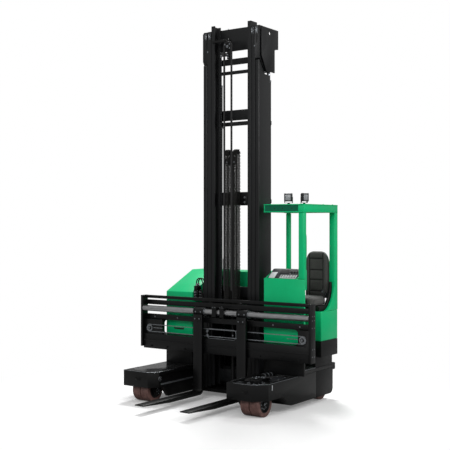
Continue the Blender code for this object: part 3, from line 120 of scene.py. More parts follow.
def makeStage():
    floorMesh = bmesh.new()
    bmesh.ops.create_grid(floorMesh, x_segments=1, y_segments=1, size=studio["floorHalf"])
    mesh = bpy.data.meshes.new("floor")
    floorMesh.to_mesh(mesh)
    floorMesh.free()
    floor = bpy.data.objects.new("floor", mesh)
    bpy.context.collection.objects.link(floor)
    material, tree, where = startMaterial("paleStudioFloor")
    matt = addNode(tree, "ShaderNodeBsdfDiffuse", {"Color": hexColour(studio["floor"])})
    bounce = addNode(tree, "ShaderNodeBsdfDiffuse", {"Color": hexColour(studio["floorBounce"])})
    glow = addNode(tree, "ShaderNodeEmission", {"Color": hexColour(studio["background"]),
                                                "Strength": 1.0})
    ray = addNode(tree, "ShaderNodeLightPath")
    lift = addNode(tree, "ShaderNodeEmission", {"Color": hexColour(studio["background"]),
                                                "Strength": studio["floorLift"]})
    lifted = addNode(tree, "ShaderNodeAddShader", {0: matt.outputs[0], 1: lift.outputs[0]})
    away = addNode(tree, "ShaderNodeVectorMath", {0: where}, operation="LENGTH")
    fade = addNode(tree, "ShaderNodeMapRange", {
        "Value": away.outputs["Value"], "From Min": studio["fadeStart"],
        "From Max": studio["fadeEnd"]}, interpolation_type="SMOOTHSTEP")
    seen = addNode(tree, "ShaderNodeMixShader", {0: fade.outputs[0], 1: lifted.outputs[0],
                                                 2: glow.outputs[0]})
    mix = addNode(tree, "ShaderNodeMixShader", {0: ray.outputs["Is Camera Ray"],
                                                1: bounce.outputs[0], 2: seen.outputs[0]})
    endMaterial(tree, mix)
    mesh.materials.append(material)

    world = bpy.data.worlds.new("studio")
    bpy.context.scene.world = world
    world.use_nodes = True
    tree = world.node_tree
    tree.nodes.clear()
    ray = addNode(tree, "ShaderNodeLightPath")
    seen = addNode(tree, "ShaderNodeMath", {0: ray.outputs["Is Camera Ray"],
                                            1: ray.outputs["Is Transmission Ray"]},
                   operation="MAXIMUM")
    plain = addNode(tree, "ShaderNodeBackground", {
        "Color": hexColour(studio["background"]), "Strength": studio["worldLight"]})
    white = addNode(tree, "ShaderNodeBackground", {
        "Color": hexColour(studio["background"]), "Strength": 1.0})
    mix = addNode(tree, "ShaderNodeMixShader", {0: seen.outputs[0], 1: plain.outputs[0],
                                                2: white.outputs[0]})
    addNode(tree, "ShaderNodeOutputWorld", {"Surface": mix.outputs[0]})

    for name, place, aim, size, power in studio["lamps"]:
        data = bpy.data.lights.new(name, "AREA")
        data.shape = "DISK"
        data.size = size
        data.energy = power
        lampObject = bpy.data.objects.new(name, data)
        lampObject.location = place
        lampObject.rotation_euler = (Vector(aim) - Vector(place)).to_track_quat(
            "-Z", "Y").to_euler()
        bpy.context.collection.objects.link(lampObject)


makeStage()
print("stage: camera, floor and lamps")


# Finishes. Sizes inside the patterns are in millimetres and are turned to a scale per metre.

def perMetre(millimetres):
    return 1000.0 / millimetres


def paintMaterial(name, look):
    # Paint over steel: flat colour, faint mottling, orange peel that only shows in the gloss,
    # dust near the floor and slight thinning where the mottling peaks
    material, tree, where = startMaterial(name)
    cloud = addNode(tree, "ShaderNodeTexNoise", {
        "Vector": where, "Scale": perMetre(look["cloudMm"]), "Detail": 5.0, "Roughness": 0.6})
    base = ramp(tree, cloud.outputs["Fac"], ((0.30, hexColour(look["deep"])),
                                             (0.62, hexColour(look["base"]))))
    height = addNode(tree, "ShaderNodeSeparateXYZ", {"Vector": where})
    nearFloor = addNode(tree, "ShaderNodeMapRange", {
        "Value": height.outputs["Z"], "From Min": 0.0, "From Max": look["dustTop"],
        "To Min": look["dust"], "To Max": 0.0})
    speck = addNode(tree, "ShaderNodeTexNoise", {"Vector": where, "Scale": perMetre(9),
                                                 "Detail": 6.0, "Roughness": 0.75})
    dust = addNode(tree, "ShaderNodeMath", {0: nearFloor.outputs[0], 1: speck.outputs["Fac"]},
                   operation="MULTIPLY")
    colour = addNode(tree, "ShaderNodeMix", {0: dust.outputs[0], 6: base,
                                             7: hexColour("#8A8378")}, data_type="RGBA")
    rough = addNode(tree, "ShaderNodeMapRange", {
        "Value": cloud.outputs["Fac"], "To Min": look["rough"] - 0.07,
        "To Max": look["rough"] + 0.07})
    peel = addNode(tree, "ShaderNodeTexNoise", {"Vector": where, "Scale": perMetre(look["peelMm"]),
                                                "Detail": 2.0})
    bump = addNode(tree, "ShaderNodeBump", {"Height": peel.outputs["Fac"],
                                            "Strength": look["peel"], "Distance": 0.001})
    shader = addNode(tree, "ShaderNodeBsdfPrincipled", {
        "Base Color": colour.outputs[2], "Roughness": rough.outputs[0],
        "Normal": bump.outputs[0], "Specular IOR Level": look["shine"],
        "Coat Weight": look.get("coat", 0.0), "Coat Roughness": 0.12})
    endMaterial(tree, shader)
    return material


def streakedSteel(name, look):
    # Metal with fine lines along one axis: ground, turned or rolled
    material, tree, where = startMaterial(name)
    stretch = addNode(tree, "ShaderNodeMapping", {"Vector": where, "Scale": look["stretch"]})
    line = addNode(tree, "ShaderNodeTexNoise", {"Vector": stretch.outputs[0],
                                                "Scale": perMetre(look["lineMm"]),
                                                "Detail": 4.0, "Roughness": 0.65})
    colour = ramp(tree, line.outputs["Fac"], ((0.32, hexColour(look["deep"])),
                                              (0.66, hexColour(look["base"]))))
    rough = addNode(tree, "ShaderNodeMapRange", {
        "Value": line.outputs["Fac"], "To Min": look["rough"] - 0.08,
        "To Max": look["rough"] + 0.12})
    bump = addNode(tree, "ShaderNodeBump", {"Height": line.outputs["Fac"],
                                            "Strength": look["bump"], "Distance": 0.0006})
    shader = addNode(tree, "ShaderNodeBsdfPrincipled", {
        "Base Color": colour, "Roughness": rough.outputs[0],
        "Metallic": look["metallic"], "Normal": bump.outputs[0]})
    endMaterial(tree, shader)
    return material


def grainMaterial(name, look):
    # Moulded or cast stuff with a fine grain: rubber, plastic, polyurethane
    material, tree, where = startMaterial(name)
    grain = addNode(tree, "ShaderNodeTexNoise", {
        "Vector": where, "Scale": perMetre(look["grainMm"]),
                                                 "Detail": 3.0, "Roughness": 0.7})
    cloud = addNode(tree, "ShaderNodeTexNoise", {
        "Vector": where, "Scale": perMetre(look["cloudMm"]),
                                                 "Detail": 4.0})
    colour = ramp(tree, cloud.outputs["Fac"], ((0.30, hexColour(look["deep"])),
                                               (0.70, hexColour(look["base"]))))
    bump = addNode(tree, "ShaderNodeBump", {"Height": grain.outputs["Fac"],
                                            "Strength": look["bump"], "Distance": 0.0008})
    shader = addNode(tree, "ShaderNodeBsdfPrincipled", {
        "Base Color": colour, "Roughness": look["rough"], "Normal": bump.outputs[0]})
    endMaterial(tree, shader)
    return material


def seatCloth(name, axis, centreX, seams, bolster):
    # Woven seat cloth: two crossed thread waves 5 mm apart, coarse enough to show, with a
    # soft sheen; the darker threads sit lower, and the sewn channels are darkened with painted
    # shade
    material, tree, where = startMaterial(name)
    parts = addNode(tree, "ShaderNodeSeparateXYZ", {"Vector": where})

    def sums(operation, first, second=0.0):
        return addNode(tree, "ShaderNodeMath", {0: first, 1: second},
                       operation=operation).outputs[0]

    side = sums("ABSOLUTE", sums("SUBTRACT", parts.outputs["X"], centreX))
    cross = 1.0
    for seam in seams:
        cross = sums("MINIMUM", cross,
                     sums("ABSOLUTE", sums("SUBTRACT", parts.outputs[axis], seam)))
    cross = sums("MAXIMUM", cross, sums("SUBTRACT", side, bolster))
    nearest = sums("MINIMUM", cross, sums("ABSOLUTE", sums("SUBTRACT", side, bolster)))
    # Painted shade: the cloth darkens almost to black towards the sewn lines
    paintedSeamShade = addNode(tree, "ShaderNodeMapRange", {
        "Value": nearest, "From Min": 0.0015, "From Max": 0.0110, "To Min": 0.92, "To Max": 0.0},
        interpolation_type="SMOOTHSTEP")
    across = addNode(tree, "ShaderNodeTexWave", {"Vector": where, "Scale": perMetre(5) / 6.283,
                                                 "Distortion": 0.6, "Detail": 1.0},
                     bands_direction="X")
    along = addNode(tree, "ShaderNodeTexWave", {"Vector": where, "Scale": perMetre(5) / 6.283,
                                                "Distortion": 0.6, "Detail": 1.0},
                    bands_direction="Z")
    weave = addNode(tree, "ShaderNodeMath", {0: across.outputs["Fac"], 1: along.outputs["Fac"]},
                    operation="MULTIPLY")
    cloud = addNode(tree, "ShaderNodeTexNoise", {"Vector": where, "Scale": perMetre(60),
                                                 "Detail": 4.0})
    thread = ramp(tree, weave.outputs[0], ((0.0, hexColour("#2A2A29")),
                                           (1.0, hexColour("#6E6D6A"))))
    worn = addNode(tree, "ShaderNodeMix", {0: cloud.outputs["Fac"], 6: thread,
                                           7: hexColour("#4E4D4B")}, data_type="RGBA")
    bump = addNode(tree, "ShaderNodeBump", {"Height": weave.outputs[0], "Strength": 0.5,
                                            "Distance": 0.001})
    seamsWithPaintedShade = addNode(tree, "ShaderNodeMix", {0: paintedSeamShade.outputs[0], 6: worn.outputs[2],
                                           7: hexColour("#060606")}, data_type="RGBA")
    shader = addNode(tree, "ShaderNodeBsdfPrincipled", {
        "Base Color": seamsWithPaintedShade.outputs[2], "Roughness": 0.85, "Sheen Weight": 0.35,
        "Sheen Roughness": 0.4, "Normal": bump.outputs[0]})
    endMaterial(tree, shader)
    return material


def clearLens():
    # Moulded lamp lens: bright, ribbed by a fine wave
    material, tree, where = startMaterial("ribbedLampLens")
    ribs = addNode(tree, "ShaderNodeTexWave", {"Vector": where, "Scale": perMetre(8) / 6.283},
                   bands_direction="X")
    bump = addNode(tree, "ShaderNodeBump", {"Height": ribs.outputs["Fac"], "Strength": 0.4,
                                            "Distance": 0.001})
    shader = addNode(tree, "ShaderNodeBsdfPrincipled", {
        "Base Color": hexColour("#A4A8AA"), "Roughness": 0.22, "Coat Weight": 0.3,
        "Normal": bump.outputs[0]})
    endMaterial(tree, shader)
    return material


finishes = {
    # Two-coat enamel on steel: smooth and glossy, slight orange peel
    "green": paintMaterial("greenEnamel", {
        "base": "#00C47C", "deep": "#00B974", "cloudMm": 420, "rough": 0.36, "peelMm": 3.5,
        "peel": 0.05, "dust": 0.04, "dustTop": 0.9, "coat": 0.04, "shine": 0.24}),
    # The same enamel, darkened as painted shade for the recess of the roof beam, which is drawn as
    # a flat sheet
    "shade": paintMaterial("greenEnamelPaintedShade", {
        "base": "#0B6A4B", "deep": "#095C41", "cloudMm": 200, "rough": 0.50, "peelMm": 3.5,
        "peel": 0.05, "dust": 0.02, "dustTop": 0.9, "shine": 0.16}),
    # Matt light grey film and blank label stock
    "pale": paintMaterial("paleMattFilm", {
        "base": "#CFD1D2", "deep": "#C2C4C6", "cloudMm": 60, "rough": 0.62, "peelMm": 1.5,
        "peel": 0.04, "dust": 0.0, "dustTop": 0.5, "shine": 0.25}),
    # Satin chassis paint: flatter and dustier
    "black": paintMaterial("satinChassisPaint", {
        "base": "#08090A", "deep": "#050506", "cloudMm": 260, "rough": 0.36, "peelMm": 2.5,
        "peel": 0.12, "dust": 0.015, "dustTop": 0.40, "shine": 0.30}),
    # Baked paint on bent sheet, for cab panels
    "panel": paintMaterial("satinPanelPaint", {
        "base": "#0A0B0C", "deep": "#060708", "cloudMm": 300, "rough": 0.45, "peelMm": 1.8,
        "peel": 0.16, "dust": 0.01, "dustTop": 0.8, "shine": 0.30}),
    # Smooth rolled sheet with a thin satin coat, for the arm's deck
    "deck": paintMaterial("coatedDeckSheet", {
        "base": "#1A1B1D", "deep": "#131415", "cloudMm": 180, "rough": 0.24, "peelMm": 4.0,
        "peel": 0.04, "dust": 0.03, "dustTop": 0.8, "shine": 0.70}),
    # Rolled mast profile: thin paint over mill lines that run up the post
    "mast": streakedSteel("paintedMastProfile", {
        "base": "#101214", "deep": "#07080A", "stretch": (1.0, 1.0, 0.03), "lineMm": 14,
        "rough": 0.40, "bump": 0.20, "metallic": 0.10}),
    # Hard chrome: ground along the rod's length, bright
    "chrome": streakedSteel("hardChromeRod", {
        "base": "#C9CDD2", "deep": "#9DA2A8", "stretch": (1.0, 1.0, 0.05), "lineMm": 3,
        "rough": 0.20, "bump": 0.08, "metallic": 1.0}),
    # Bright drawn tube of the fork shaft: satin, ground along its length
    "shaft": streakedSteel("drawnShaftTube", {
        "base": "#C4C5C6", "deep": "#8D8E90", "stretch": (0.05, 1.0, 1.0), "lineMm": 4,
        "rough": 0.30, "bump": 0.10, "metallic": 0.95}),
    # Zinc-plated fasteners and pulleys
    "zinc": streakedSteel("zincPlatedSteel", {
        "base": "#A9ADB1", "deep": "#73777C", "stretch": (1.0, 1.0, 1.0), "lineMm": 8,
        "rough": 0.38, "bump": 0.15, "metallic": 0.9}),
    # Oiled leaf chain: dark plates with a wet gloss
    "chain": streakedSteel("oiledLeafChain", {
        "base": "#4A4A48", "deep": "#1C1C1B", "stretch": (1.0, 1.0, 0.4), "lineMm": 6,
        "rough": 0.36, "bump": 0.30, "metallic": 0.75}),
    # Cast polyurethane tread: brown, semi-matt, scuffed
    "tread": grainMaterial("brownPolyurethane", {
        "base": "#785852", "deep": "#583D38", "grainMm": 4, "cloudMm": 45, "rough": 0.55,
        "bump": 0.25}),
    # Moulded rubber
    "rubber": grainMaterial("mouldedRubber", {
        "base": "#1D1D1E", "deep": "#131314", "grainMm": 2.5, "cloudMm": 40, "rough": 0.72,
        "bump": 0.30}),
    # Moulded ABS of the console, lamps and levers
    "plastic": grainMaterial("mouldedAbs", {
        "base": "#202226", "deep": "#181A1D", "grainMm": 1.8, "cloudMm": 90, "rough": 0.48,
        "bump": 0.18}),
    # Anodised tread plate of the step
    "plate": streakedSteel("brushedTreadPlate", {
        "base": "#B9BCC0", "deep": "#85898E", "stretch": (0.1, 1.0, 1.0), "lineMm": 5,
        "rough": 0.34, "bump": 0.20, "metallic": 0.85}),
    "lens": clearLens(),
}
print("stage: finishes")


# Modelling helpers. A piece gathers small shapes, each with its own finish.

bodyOf = {node: body for body, nodes in frame["record"]["behaviour"]["bodies"].items()
          for node in nodes}


def newPiece():
    return {"shape": bmesh.new(), "finishes": []}


def pour(piece, shape, finish, matrix=None):
    # Adds one small shape to a piece; the shape can be poured again elsewhere
    if finish not in piece["finishes"]:
        piece["finishes"].append(finish)
    index = piece["finishes"].index(finish)
    for face in shape.faces:
        face.material_index = index
    mesh = bpy.data.meshes.new("pour")
    shape.to_mesh(mesh)
    if matrix is not None:
        mesh.transform(matrix)
    piece["shape"].from_mesh(mesh)
    bpy.data.meshes.remove(mesh)


def softenEdges(shape, width, segments=2, angle=30):
    # Rounds the edges that turn by more than the angle
    sharp = [edge for edge in shape.edges
             if len(edge.link_faces) == 2 and edge.calc_face_angle(0) > math.radians(angle)]
    bmesh.ops.bevel(shape, geom=sharp, offset=width, offset_type="OFFSET", affect="EDGES",
                    segments=segments, profile=0.5, material=-1, clamp_overlap=True)


def blockShape(x, y, z, soft=0.003):
    shape = bmesh.new()
    bmesh.ops.create_cube(shape, size=1.0)
    low = Vector((min(x), min(y), min(z)))
    high = Vector((max(x), max(y), max(z)))
    bmesh.ops.scale(shape, vec=high - low, verts=shape.verts)
    bmesh.ops.translate(shape, vec=(low + high) / 2, verts=shape.verts)
    if soft:
        softenEdges(shape, min(soft, 0.45 * min(high - low)))
    return shape


def onAxis(axis, u, v, along):
    # (y, z) on X, (x, z) on Y and (x, y) on Z
    return {"X": Vector((along, u, v)), "Y": Vector((u, along, v)),
            "Z": Vector((u, v, along))}[axis]


def outlineShape(outline, axis, low, high, soft=0.003):
    shape = bmesh.new()
    face = shape.faces.new([shape.verts.new(onAxis(axis, u, v, low)) for u, v in outline])
    grown = bmesh.ops.extrude_face_region(shape, geom=[face])
    moved = [item for item in grown["geom"] if isinstance(item, bmesh.types.BMVert)]
    bmesh.ops.translate(shape, vec=onAxis(axis, 0, 0, high - low), verts=moved)
    bmesh.ops.recalc_face_normals(shape, faces=shape.faces)
    if soft:
        softenEdges(shape, soft)
    return shape


def turnOnto(axis):
    return {"X": Matrix.Rotation(math.pi / 2, 4, "Y"), "Y": Matrix.Rotation(-math.pi / 2, 4, "X"),
            "Z": Matrix.Identity(4)}[axis]


def turnedShape(profile, axis, centre, steps=32):
    # Spins an open or closed run of (radius, offset) points about the axis
    shape = bmesh.new()
    points = [shape.verts.new((radius, 0, offset)) for radius, offset in profile]
    edges = [shape.edges.new(pair) for pair in zip(points, points[1:])]
    bmesh.ops.spin(shape, geom=points + edges, cent=(0, 0, 0), axis=(0, 0, 1),
                   angle=math.tau, steps=steps, use_merge=True)
    bmesh.ops.remove_doubles(shape, verts=shape.verts, dist=0.00001)
    bmesh.ops.dissolve_degenerate(shape, edges=shape.edges, dist=0.000005)
    bmesh.ops.transform(shape, matrix=turnOnto(axis), verts=shape.verts)
    bmesh.ops.translate(shape, vec=centre, verts=shape.verts)
    bmesh.ops.recalc_face_normals(shape, faces=shape.faces)
    return shape


def rodShape(radius, axis, centre, low, high, steps=24, soft=0.002):
    profile = [(0, low), (radius - soft, low), (radius, low + soft),
               (radius, high - soft), (radius - soft, high), (0, high)]
    return turnedShape(profile, axis, centre, steps)


def pipeShape(inner, outer, axis, centre, low, high, steps=32, soft=0.0015):
    profile = [(inner, low), (outer - soft, low), (outer, low + soft), (outer, high - soft),
               (outer - soft, high), (inner, high), (inner, low)]
    return turnedShape(profile, axis, centre, steps)


def boltShape(radius, height, axis, centre, side=1):
    # A hexagon head on its washer, pointing along the axis
    shape = bmesh.new()
    bmesh.ops.create_cone(shape, cap_ends=True, segments=16, radius1=radius * 1.35,
                          radius2=radius * 1.35, depth=height * 0.3,
                          matrix=Matrix.Translation((0, 0, height * 0.15)))
    bmesh.ops.create_cone(shape, cap_ends=True, segments=6, radius1=radius, radius2=radius * 0.9,
                          depth=height, matrix=Matrix.Translation((0, 0, height * 0.6)))
    if side < 0:
        bmesh.ops.rotate(shape, cent=(0, 0, 0), matrix=Matrix.Rotation(math.pi, 3, "X"),
                         verts=shape.verts)
    bmesh.ops.transform(shape, matrix=turnOnto(axis), verts=shape.verts)
    bmesh.ops.translate(shape, vec=centre, verts=shape.verts)
    return shape


def arcPoints(centreU, centreV, radius, start, end, steps):
    return [(centreU + radius * math.cos(math.radians(start + (end - start) * k / steps)),
             centreV + radius * math.sin(math.radians(start + (end - start) * k / steps)))
            for k in range(steps + 1)]


def roundedBox(lowU, highU, lowV, highV, radius, steps=4):
    return (arcPoints(highU - radius, lowV + radius, radius, -90, 0, steps)
            + arcPoints(highU - radius, highV - radius, radius, 0, 90, steps)
            + arcPoints(lowU + radius, highV - radius, radius, 90, 180, steps)
            + arcPoints(lowU + radius, lowV + radius, radius, 180, 270, steps))


def tubeShape(route, radius, sides=10):
    # A round tube along a smooth route, made by a bevelled curve and read back as a mesh
    curve = bpy.data.curves.new("tube", "CURVE")
    curve.dimensions = "3D"
    curve.bevel_depth = radius
    curve.bevel_resolution = max(1, sides // 4)
    curve.use_fill_caps = True
    spline = curve.splines.new("POLY")
    spline.points.add(len(route) - 1)
    for point, place in zip(spline.points, route):
        point.co = (*place, 1.0)
    holder = bpy.data.objects.new("tube", curve)
    mesh = bpy.data.meshes.new_from_object(holder)
    shape = bmesh.new()
    shape.from_mesh(mesh)
    bmesh.ops.remove_doubles(shape, verts=shape.verts, dist=0.00001)
    bmesh.ops.recalc_face_normals(shape, faces=shape.faces)
    bpy.data.objects.remove(holder)
    bpy.data.curves.remove(curve)
    bpy.data.meshes.remove(mesh)
    return shape


def smoothRoute(points, steps=8):
    # Catmull-Rom curve through a few points
    places = [Vector(p) for p in points]
    places = [places[0] * 2 - places[1]] + places + [places[-1] * 2 - places[-2]]
    route = []
    for a, b, c, d in zip(places, places[1:], places[2:], places[3:]):
        for k in range(steps):
            t = k / steps
            route.append(0.5 * ((2 * b) + (c - a) * t + (2 * a - 5 * b + 4 * c - d) * t * t
                                + (3 * b - a - 3 * c + d) * t ** 3))
    route.append(places[-2])
    return route


def finishPiece(name, piece, body, stands=(), smoothAngle=38):
    # Makes the gathered shapes one object that rides on its body
    mesh = bpy.data.meshes.new(name)
    piece["shape"].to_mesh(mesh)
    piece["shape"].free()
    for finish in piece["finishes"]:
        mesh.materials.append(finishes[finish])
    mesh.shade_smooth()
    mesh.set_sharp_from_angle(angle=math.radians(smoothAngle))
    item = bpy.data.objects.new(name, mesh)
    bpy.context.collection.objects.link(item)
    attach(item, body)
    if stands:
        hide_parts(*stands)
    return item


def copyOfNode(nodeName):
    # A merged copy of a CAD node, its flat faces joined again
    shape = bmesh.new()
    shape.from_mesh(frame["nodes"][nodeName].data)
    bmesh.ops.remove_doubles(shape, verts=shape.verts, dist=0.00002)
    bmesh.ops.dissolve_limit(shape, angle_limit=math.radians(0.6), verts=shape.verts,
                             edges=shape.edges, delimit={"NORMAL"})
    return shape


def dress(nodeName, finish, soft=0.004, segments=2, angle=32):
    # The CAD node again with rounded edges and its real finish
    piece = newPiece()
    shape = copyOfNode(nodeName)
    if soft:
        softenEdges(shape, soft, segments, angle)
    pour(piece, shape, finish)
    shape.free()
    return piece


# Nodes that keep their outline and get soft edges: node, finish, edge radius
plainNodes = (
    ("rear_frame", "black", 0.006), ("left_base", "black", 0.005),
    ("rear_base", "black", 0.005), ("battery_block", "black", 0.004),
    ("reach_carriage", "black", 0.003), ("carriage_top_rail", "black", 0.003),
    ("carriage_band", "black", 0.003), ("carriage_upper_plate", "black", 0.003),
    ("carriage_lower_plate", "black", 0.003), ("left_hanger", "black", 0.003),
    ("right_hanger", "black", 0.003), ("left_end_plate", "black", 0.003),
    ("right_end_plate", "black", 0.003), ("outer_mast", "mast", 0.002),
    ("middle_mast", "mast", 0.002), ("inner_mast", "mast", 0.002),
    ("left_arm", "black", 0.006), ("right_arm", "black", 0.006),
    ("left_hood", "green", 0.010), ("rear_cover", "green", 0.010),
    ("cab_tub", "panel", 0.006), ("cab_front_panel", "green", 0.008),
    ("cab_console", "plastic", 0.012), ("seat_pedestal", "green", 0.010),
    ("front_post", "green", 0.010), ("rear_right_post", "green", 0.010),
    ("rear_left_post", "green", 0.010), ("guard_roof", "green", 0.008),
    ("seat_riser", "panel", 0.005), ("left_buffer", "rubber", 0.010),
    ("right_buffer", "rubber", 0.010), ("left_lift_barrel", "panel", 0.0),
    ("right_lift_barrel", "panel", 0.0), ("left_lift_rod", "chrome", 0.0),
    ("right_lift_rod", "chrome", 0.0), ("free_lift_barrel", "panel", 0.0),
    ("free_lift_head", "panel", 0.002), ("hose_sheave", "black", 0.002),
    ("hose_loop", "rubber", 0.0), ("carriage_shaft", "shaft", 0.0),
    ("left_fork", "black", 0.003), ("right_fork", "black", 0.003),
)
for nodeName, finish, soft in plainNodes:
    finishPiece(nodeName + "_dressed", dress(nodeName, finish, soft), bodyOf[nodeName],
                stands=(nodeName,))
print("stage: nodes dressed")


# Wheels: crowned twin treads with wear lines, dished hubs with bolts, drive covers on the legs
running = {
    "radius": 0.135, "half": 0.1125, "hub": 0.090, "grooveHalf": 0.005, "groove": 0.018,
    "shoulder": 0.009, "wearLines": (0.036, 0.058, 0.080), "wearDepth": 0.0012,
    "bore": 0.0223, "boreDepth": 0.075, "wheelBolts": 8, "boltRing": 0.052, "boltSize": 0.0075,
    "coverRadius": 0.046, "coverBolts": 6,
    # name, side, kingpin X and Y
    "places": (("front_left", -1, 0.735, -0.370), ("front_right", 1, 0.735, -0.370),
               ("rear_left", -1, 0.735, 0.830), ("rear_right", 1, 0.735, 0.830)),
}


def treadProfile(look):
    # Half of the crown from the centre groove outward, then mirrored
    radius, half, soft = look["radius"], look["half"], look["shoulder"]
    side = [(radius - look["groove"], look["grooveHalf"]), (radius - 0.003, look["grooveHalf"]),
            (radius, look["grooveHalf"] + 0.003)]
    for place in look["wearLines"]:
        side += [(radius, place - 0.002), (radius - look["wearDepth"], place - 0.0008),
                 (radius - look["wearDepth"], place + 0.0008), (radius, place + 0.002)]
    side += [(radius - soft + u, half - soft + v) for v, u in arcPoints(0, 0, soft, 90, 0, 4)]
    side += [(look["hub"] + 0.0003, half)]
    mirrored = [(r, -v) for r, v in reversed(side)]
    return mirrored + side + mirrored[:1]


def hubProfile(look):
    half, hub = look["half"], look["hub"]
    return [(0, half - 0.004), (0.017, half - 0.004), (0.021, half - 0.007),
            (0.022, half - 0.018), (0.030, half - 0.022), (0.066, half - 0.022),
            (0.074, half - 0.014), (0.0785, half - 0.004), (0.0805, half), (hub - 0.0015, half),
            (hub, half - 0.0015), (hub, -half + 0.0015), (hub - 0.0015, -half),
            (look["bore"], -half), (look["bore"], -half + look["boreDepth"]),
            (0, -half + look["boreDepth"])]


def boltRing(piece, finish, count, ring, size, height, centre, side, turn=0.0):
    # Bolts round an X axis, heads towards the side
    for index in range(count):
        angle = math.tau * index / count + turn
        place = Vector(centre) + Vector((0, ring * math.cos(angle), ring * math.sin(angle)))
        bolt = boltShape(size, height, "X", place, side)
        pour(piece, bolt, finish)
        bolt.free()


def pourAll(piece, finish, *shapes):
    for shape in shapes:
        pour(piece, shape, finish)
        shape.free()


def makeWheel(name, side, x, y, look):
    centre = Vector((side * x, y, look["radius"]))
    tread = newPiece()
    pourAll(tread, "tread", turnedShape(treadProfile(look), "X", centre, 72))
    finishPiece(name + "_tyre", tread, bodyOf[name + "_tread"], stands=(name + "_tread",))
    hub = newPiece()
    pourAll(hub, "black", turnedShape([(r, side * v) for r, v in hubProfile(look)], "X", centre,
                                      48))
    face = centre + Vector((side * (look["half"] - 0.022), 0, 0))
    boltRing(hub, "zinc", look["wheelBolts"], look["boltRing"], look["boltSize"], 0.010, face, side)
    cap = centre + Vector((side * (look["half"] - 0.005), 0, 0))
    pourAll(hub, "zinc", boltShape(0.011, 0.004, "X", cap, side))
    finishPiece(name + "_rim", hub, bodyOf[name + "_hub"], stands=(name + "_hub",))
    knuckle = dress(name + "_knuckle", "black", 0.002)
    legX = side * (x - look["half"] - 0.022)
    coverX = legX - side * 0.028
    pourAll(knuckle, "black", rodShape(look["coverRadius"], "X", (0, y, look["radius"]),
                                       *sorted((legX + side * 0.001, coverX)), 32, 0.005))
    boltRing(knuckle, "zinc", look["coverBolts"], 0.035, 0.0055, 0.005,
             (coverX, y, look["radius"]), -side, 0.3)
    pourAll(knuckle, "zinc", boltShape(0.012, 0.007, "X", (coverX, y, look["radius"]), -side))
    for offset in (-0.034, 0.034):
        pourAll(knuckle, "zinc", boltShape(0.007, 0.006, "X", (legX, y + offset, 0.225), -side))
    finishPiece(name + "_leg", knuckle, bodyOf[name + "_knuckle"], stands=(name + "_knuckle",))


for name, side, x, y in running["places"]:
    makeWheel(name, side, x, y, running)
print("stage: wheels")


# Frame fittings: channel wear strips, tie-down eyes, deck sheet, tray parts, step sheet
frameParts = {
    "wearTop": 0.2232, "wearFace": 0.210, "wearRange": (-0.438, 0.548),
    "eyeX": 0.72, "eyeZ": 0.278, "faceY": -0.560, "deckTop": 0.3604, "trayFloor": 0.330,
    "markerY": -0.370, "markerZ": (0.288, 0.342), "stepRange": ((0.505, 0.925), (0.222, 0.562)),
    "stepTop": 0.4003, "stepPitch": 0.027, "stepHole": 0.0085,
}


def lyingBolt(piece, finish, radius, height, x, y, z):
    pourAll(piece, finish, boltShape(radius, height, "Z", (x, y, z), 1))


def makeArmFittings(side, look):
    piece = newPiece()
    inner = 0.490
    low, high = look["wearRange"]
    pourAll(piece, "zinc",
            blockShape((side * (inner - 0.0015), side * (inner + 0.0276)), (low, high),
                       (0.2201, look["wearTop"]), 0.0008),
            blockShape((side * (inner - 0.0015), side * (inner - 0.0002)), (low, high),
                       (look["wearFace"], look["wearTop"]), 0.0004))
    # Bolted cover where the steering line passes through the arm's inner side
    coverAt = (side * inner, -0.452, 0.283)
    out = -side
    pourAll(piece, "zinc", rodShape(0.027, "X", (0, coverAt[1], coverAt[2]),
                                    *sorted((coverAt[0] + out * 0.0002, coverAt[0] + out * 0.005)),
                                    28, 0.001))
    boltRing(piece, "black", 5, 0.018, 0.0045, 0.004, (coverAt[0] + out * 0.005,) + coverAt[1:],
             out)
    # Tie-down eye on the front face
    eyeX, eyeZ, faceY = side * look["eyeX"], look["eyeZ"], look["faceY"]
    pourAll(piece, "black", blockShape((eyeX - 0.034, eyeX + 0.034),
                                        (faceY - 0.004, faceY - 0.0002),
                                       (eyeZ - 0.022, eyeZ + 0.022), 0.0015))
    bow = [(eyeX - 0.018, faceY - 0.002, eyeZ + 0.008)]
    bow += [(eyeX + 0.018 * math.cos(math.radians(a)), faceY - 0.012,
             eyeZ + 0.004 + 0.016 * math.sin(math.radians(a))) for a in range(180, 361, 20)]
    bow += [(eyeX + 0.018, faceY - 0.002, eyeZ + 0.008)]
    pourAll(piece, "black", tubeShape(bow, 0.0032))
    for offset in (-0.027, 0.027):
        pourAll(piece, "black", boltShape(0.0045, 0.004, "Y", (eyeX + offset, faceY - 0.004,
                                                              eyeZ + 0.012), -1))
    # Bright zinc strip along the rim's top edge: a painted highlight where the rounded edge catches
    # the light
    edge = [(0.931, 0.15), (0.931, -0.435), (0.801, -0.561), (0.580, -0.561), (0.489, -0.470),
            (0.489, -0.20)]
    if side < 0:
        edge = [(0.931, -0.30), (0.931, -0.561), (0.580, -0.561), (0.489, -0.470), (0.489, -0.20)]
    pourAll(piece, "zinc", tubeShape([(side * x, y, 0.3588) for x, y in edge], 0.0021, 8))
    # Narrow marker light on the outer side
    outer = side * 0.930
    pourAll(piece, "plastic", blockShape((outer, outer + side * 0.003),
                                         (look["markerY"] - 0.009, look["markerY"] + 0.009),
                                         (look["markerZ"][0] - 0.004, look["markerZ"][1] + 0.004),
                                         0.001))
    pourAll(piece, "lens", blockShape((outer + side * 0.003, outer + side * 0.008),
                                      (look["markerY"] - 0.0065, look["markerY"] + 0.0065),
                                      look["markerZ"], 0.002))
    name = "left" if side < 0 else "right"
    finishPiece(name + "_arm_fittings", piece, "chassis")


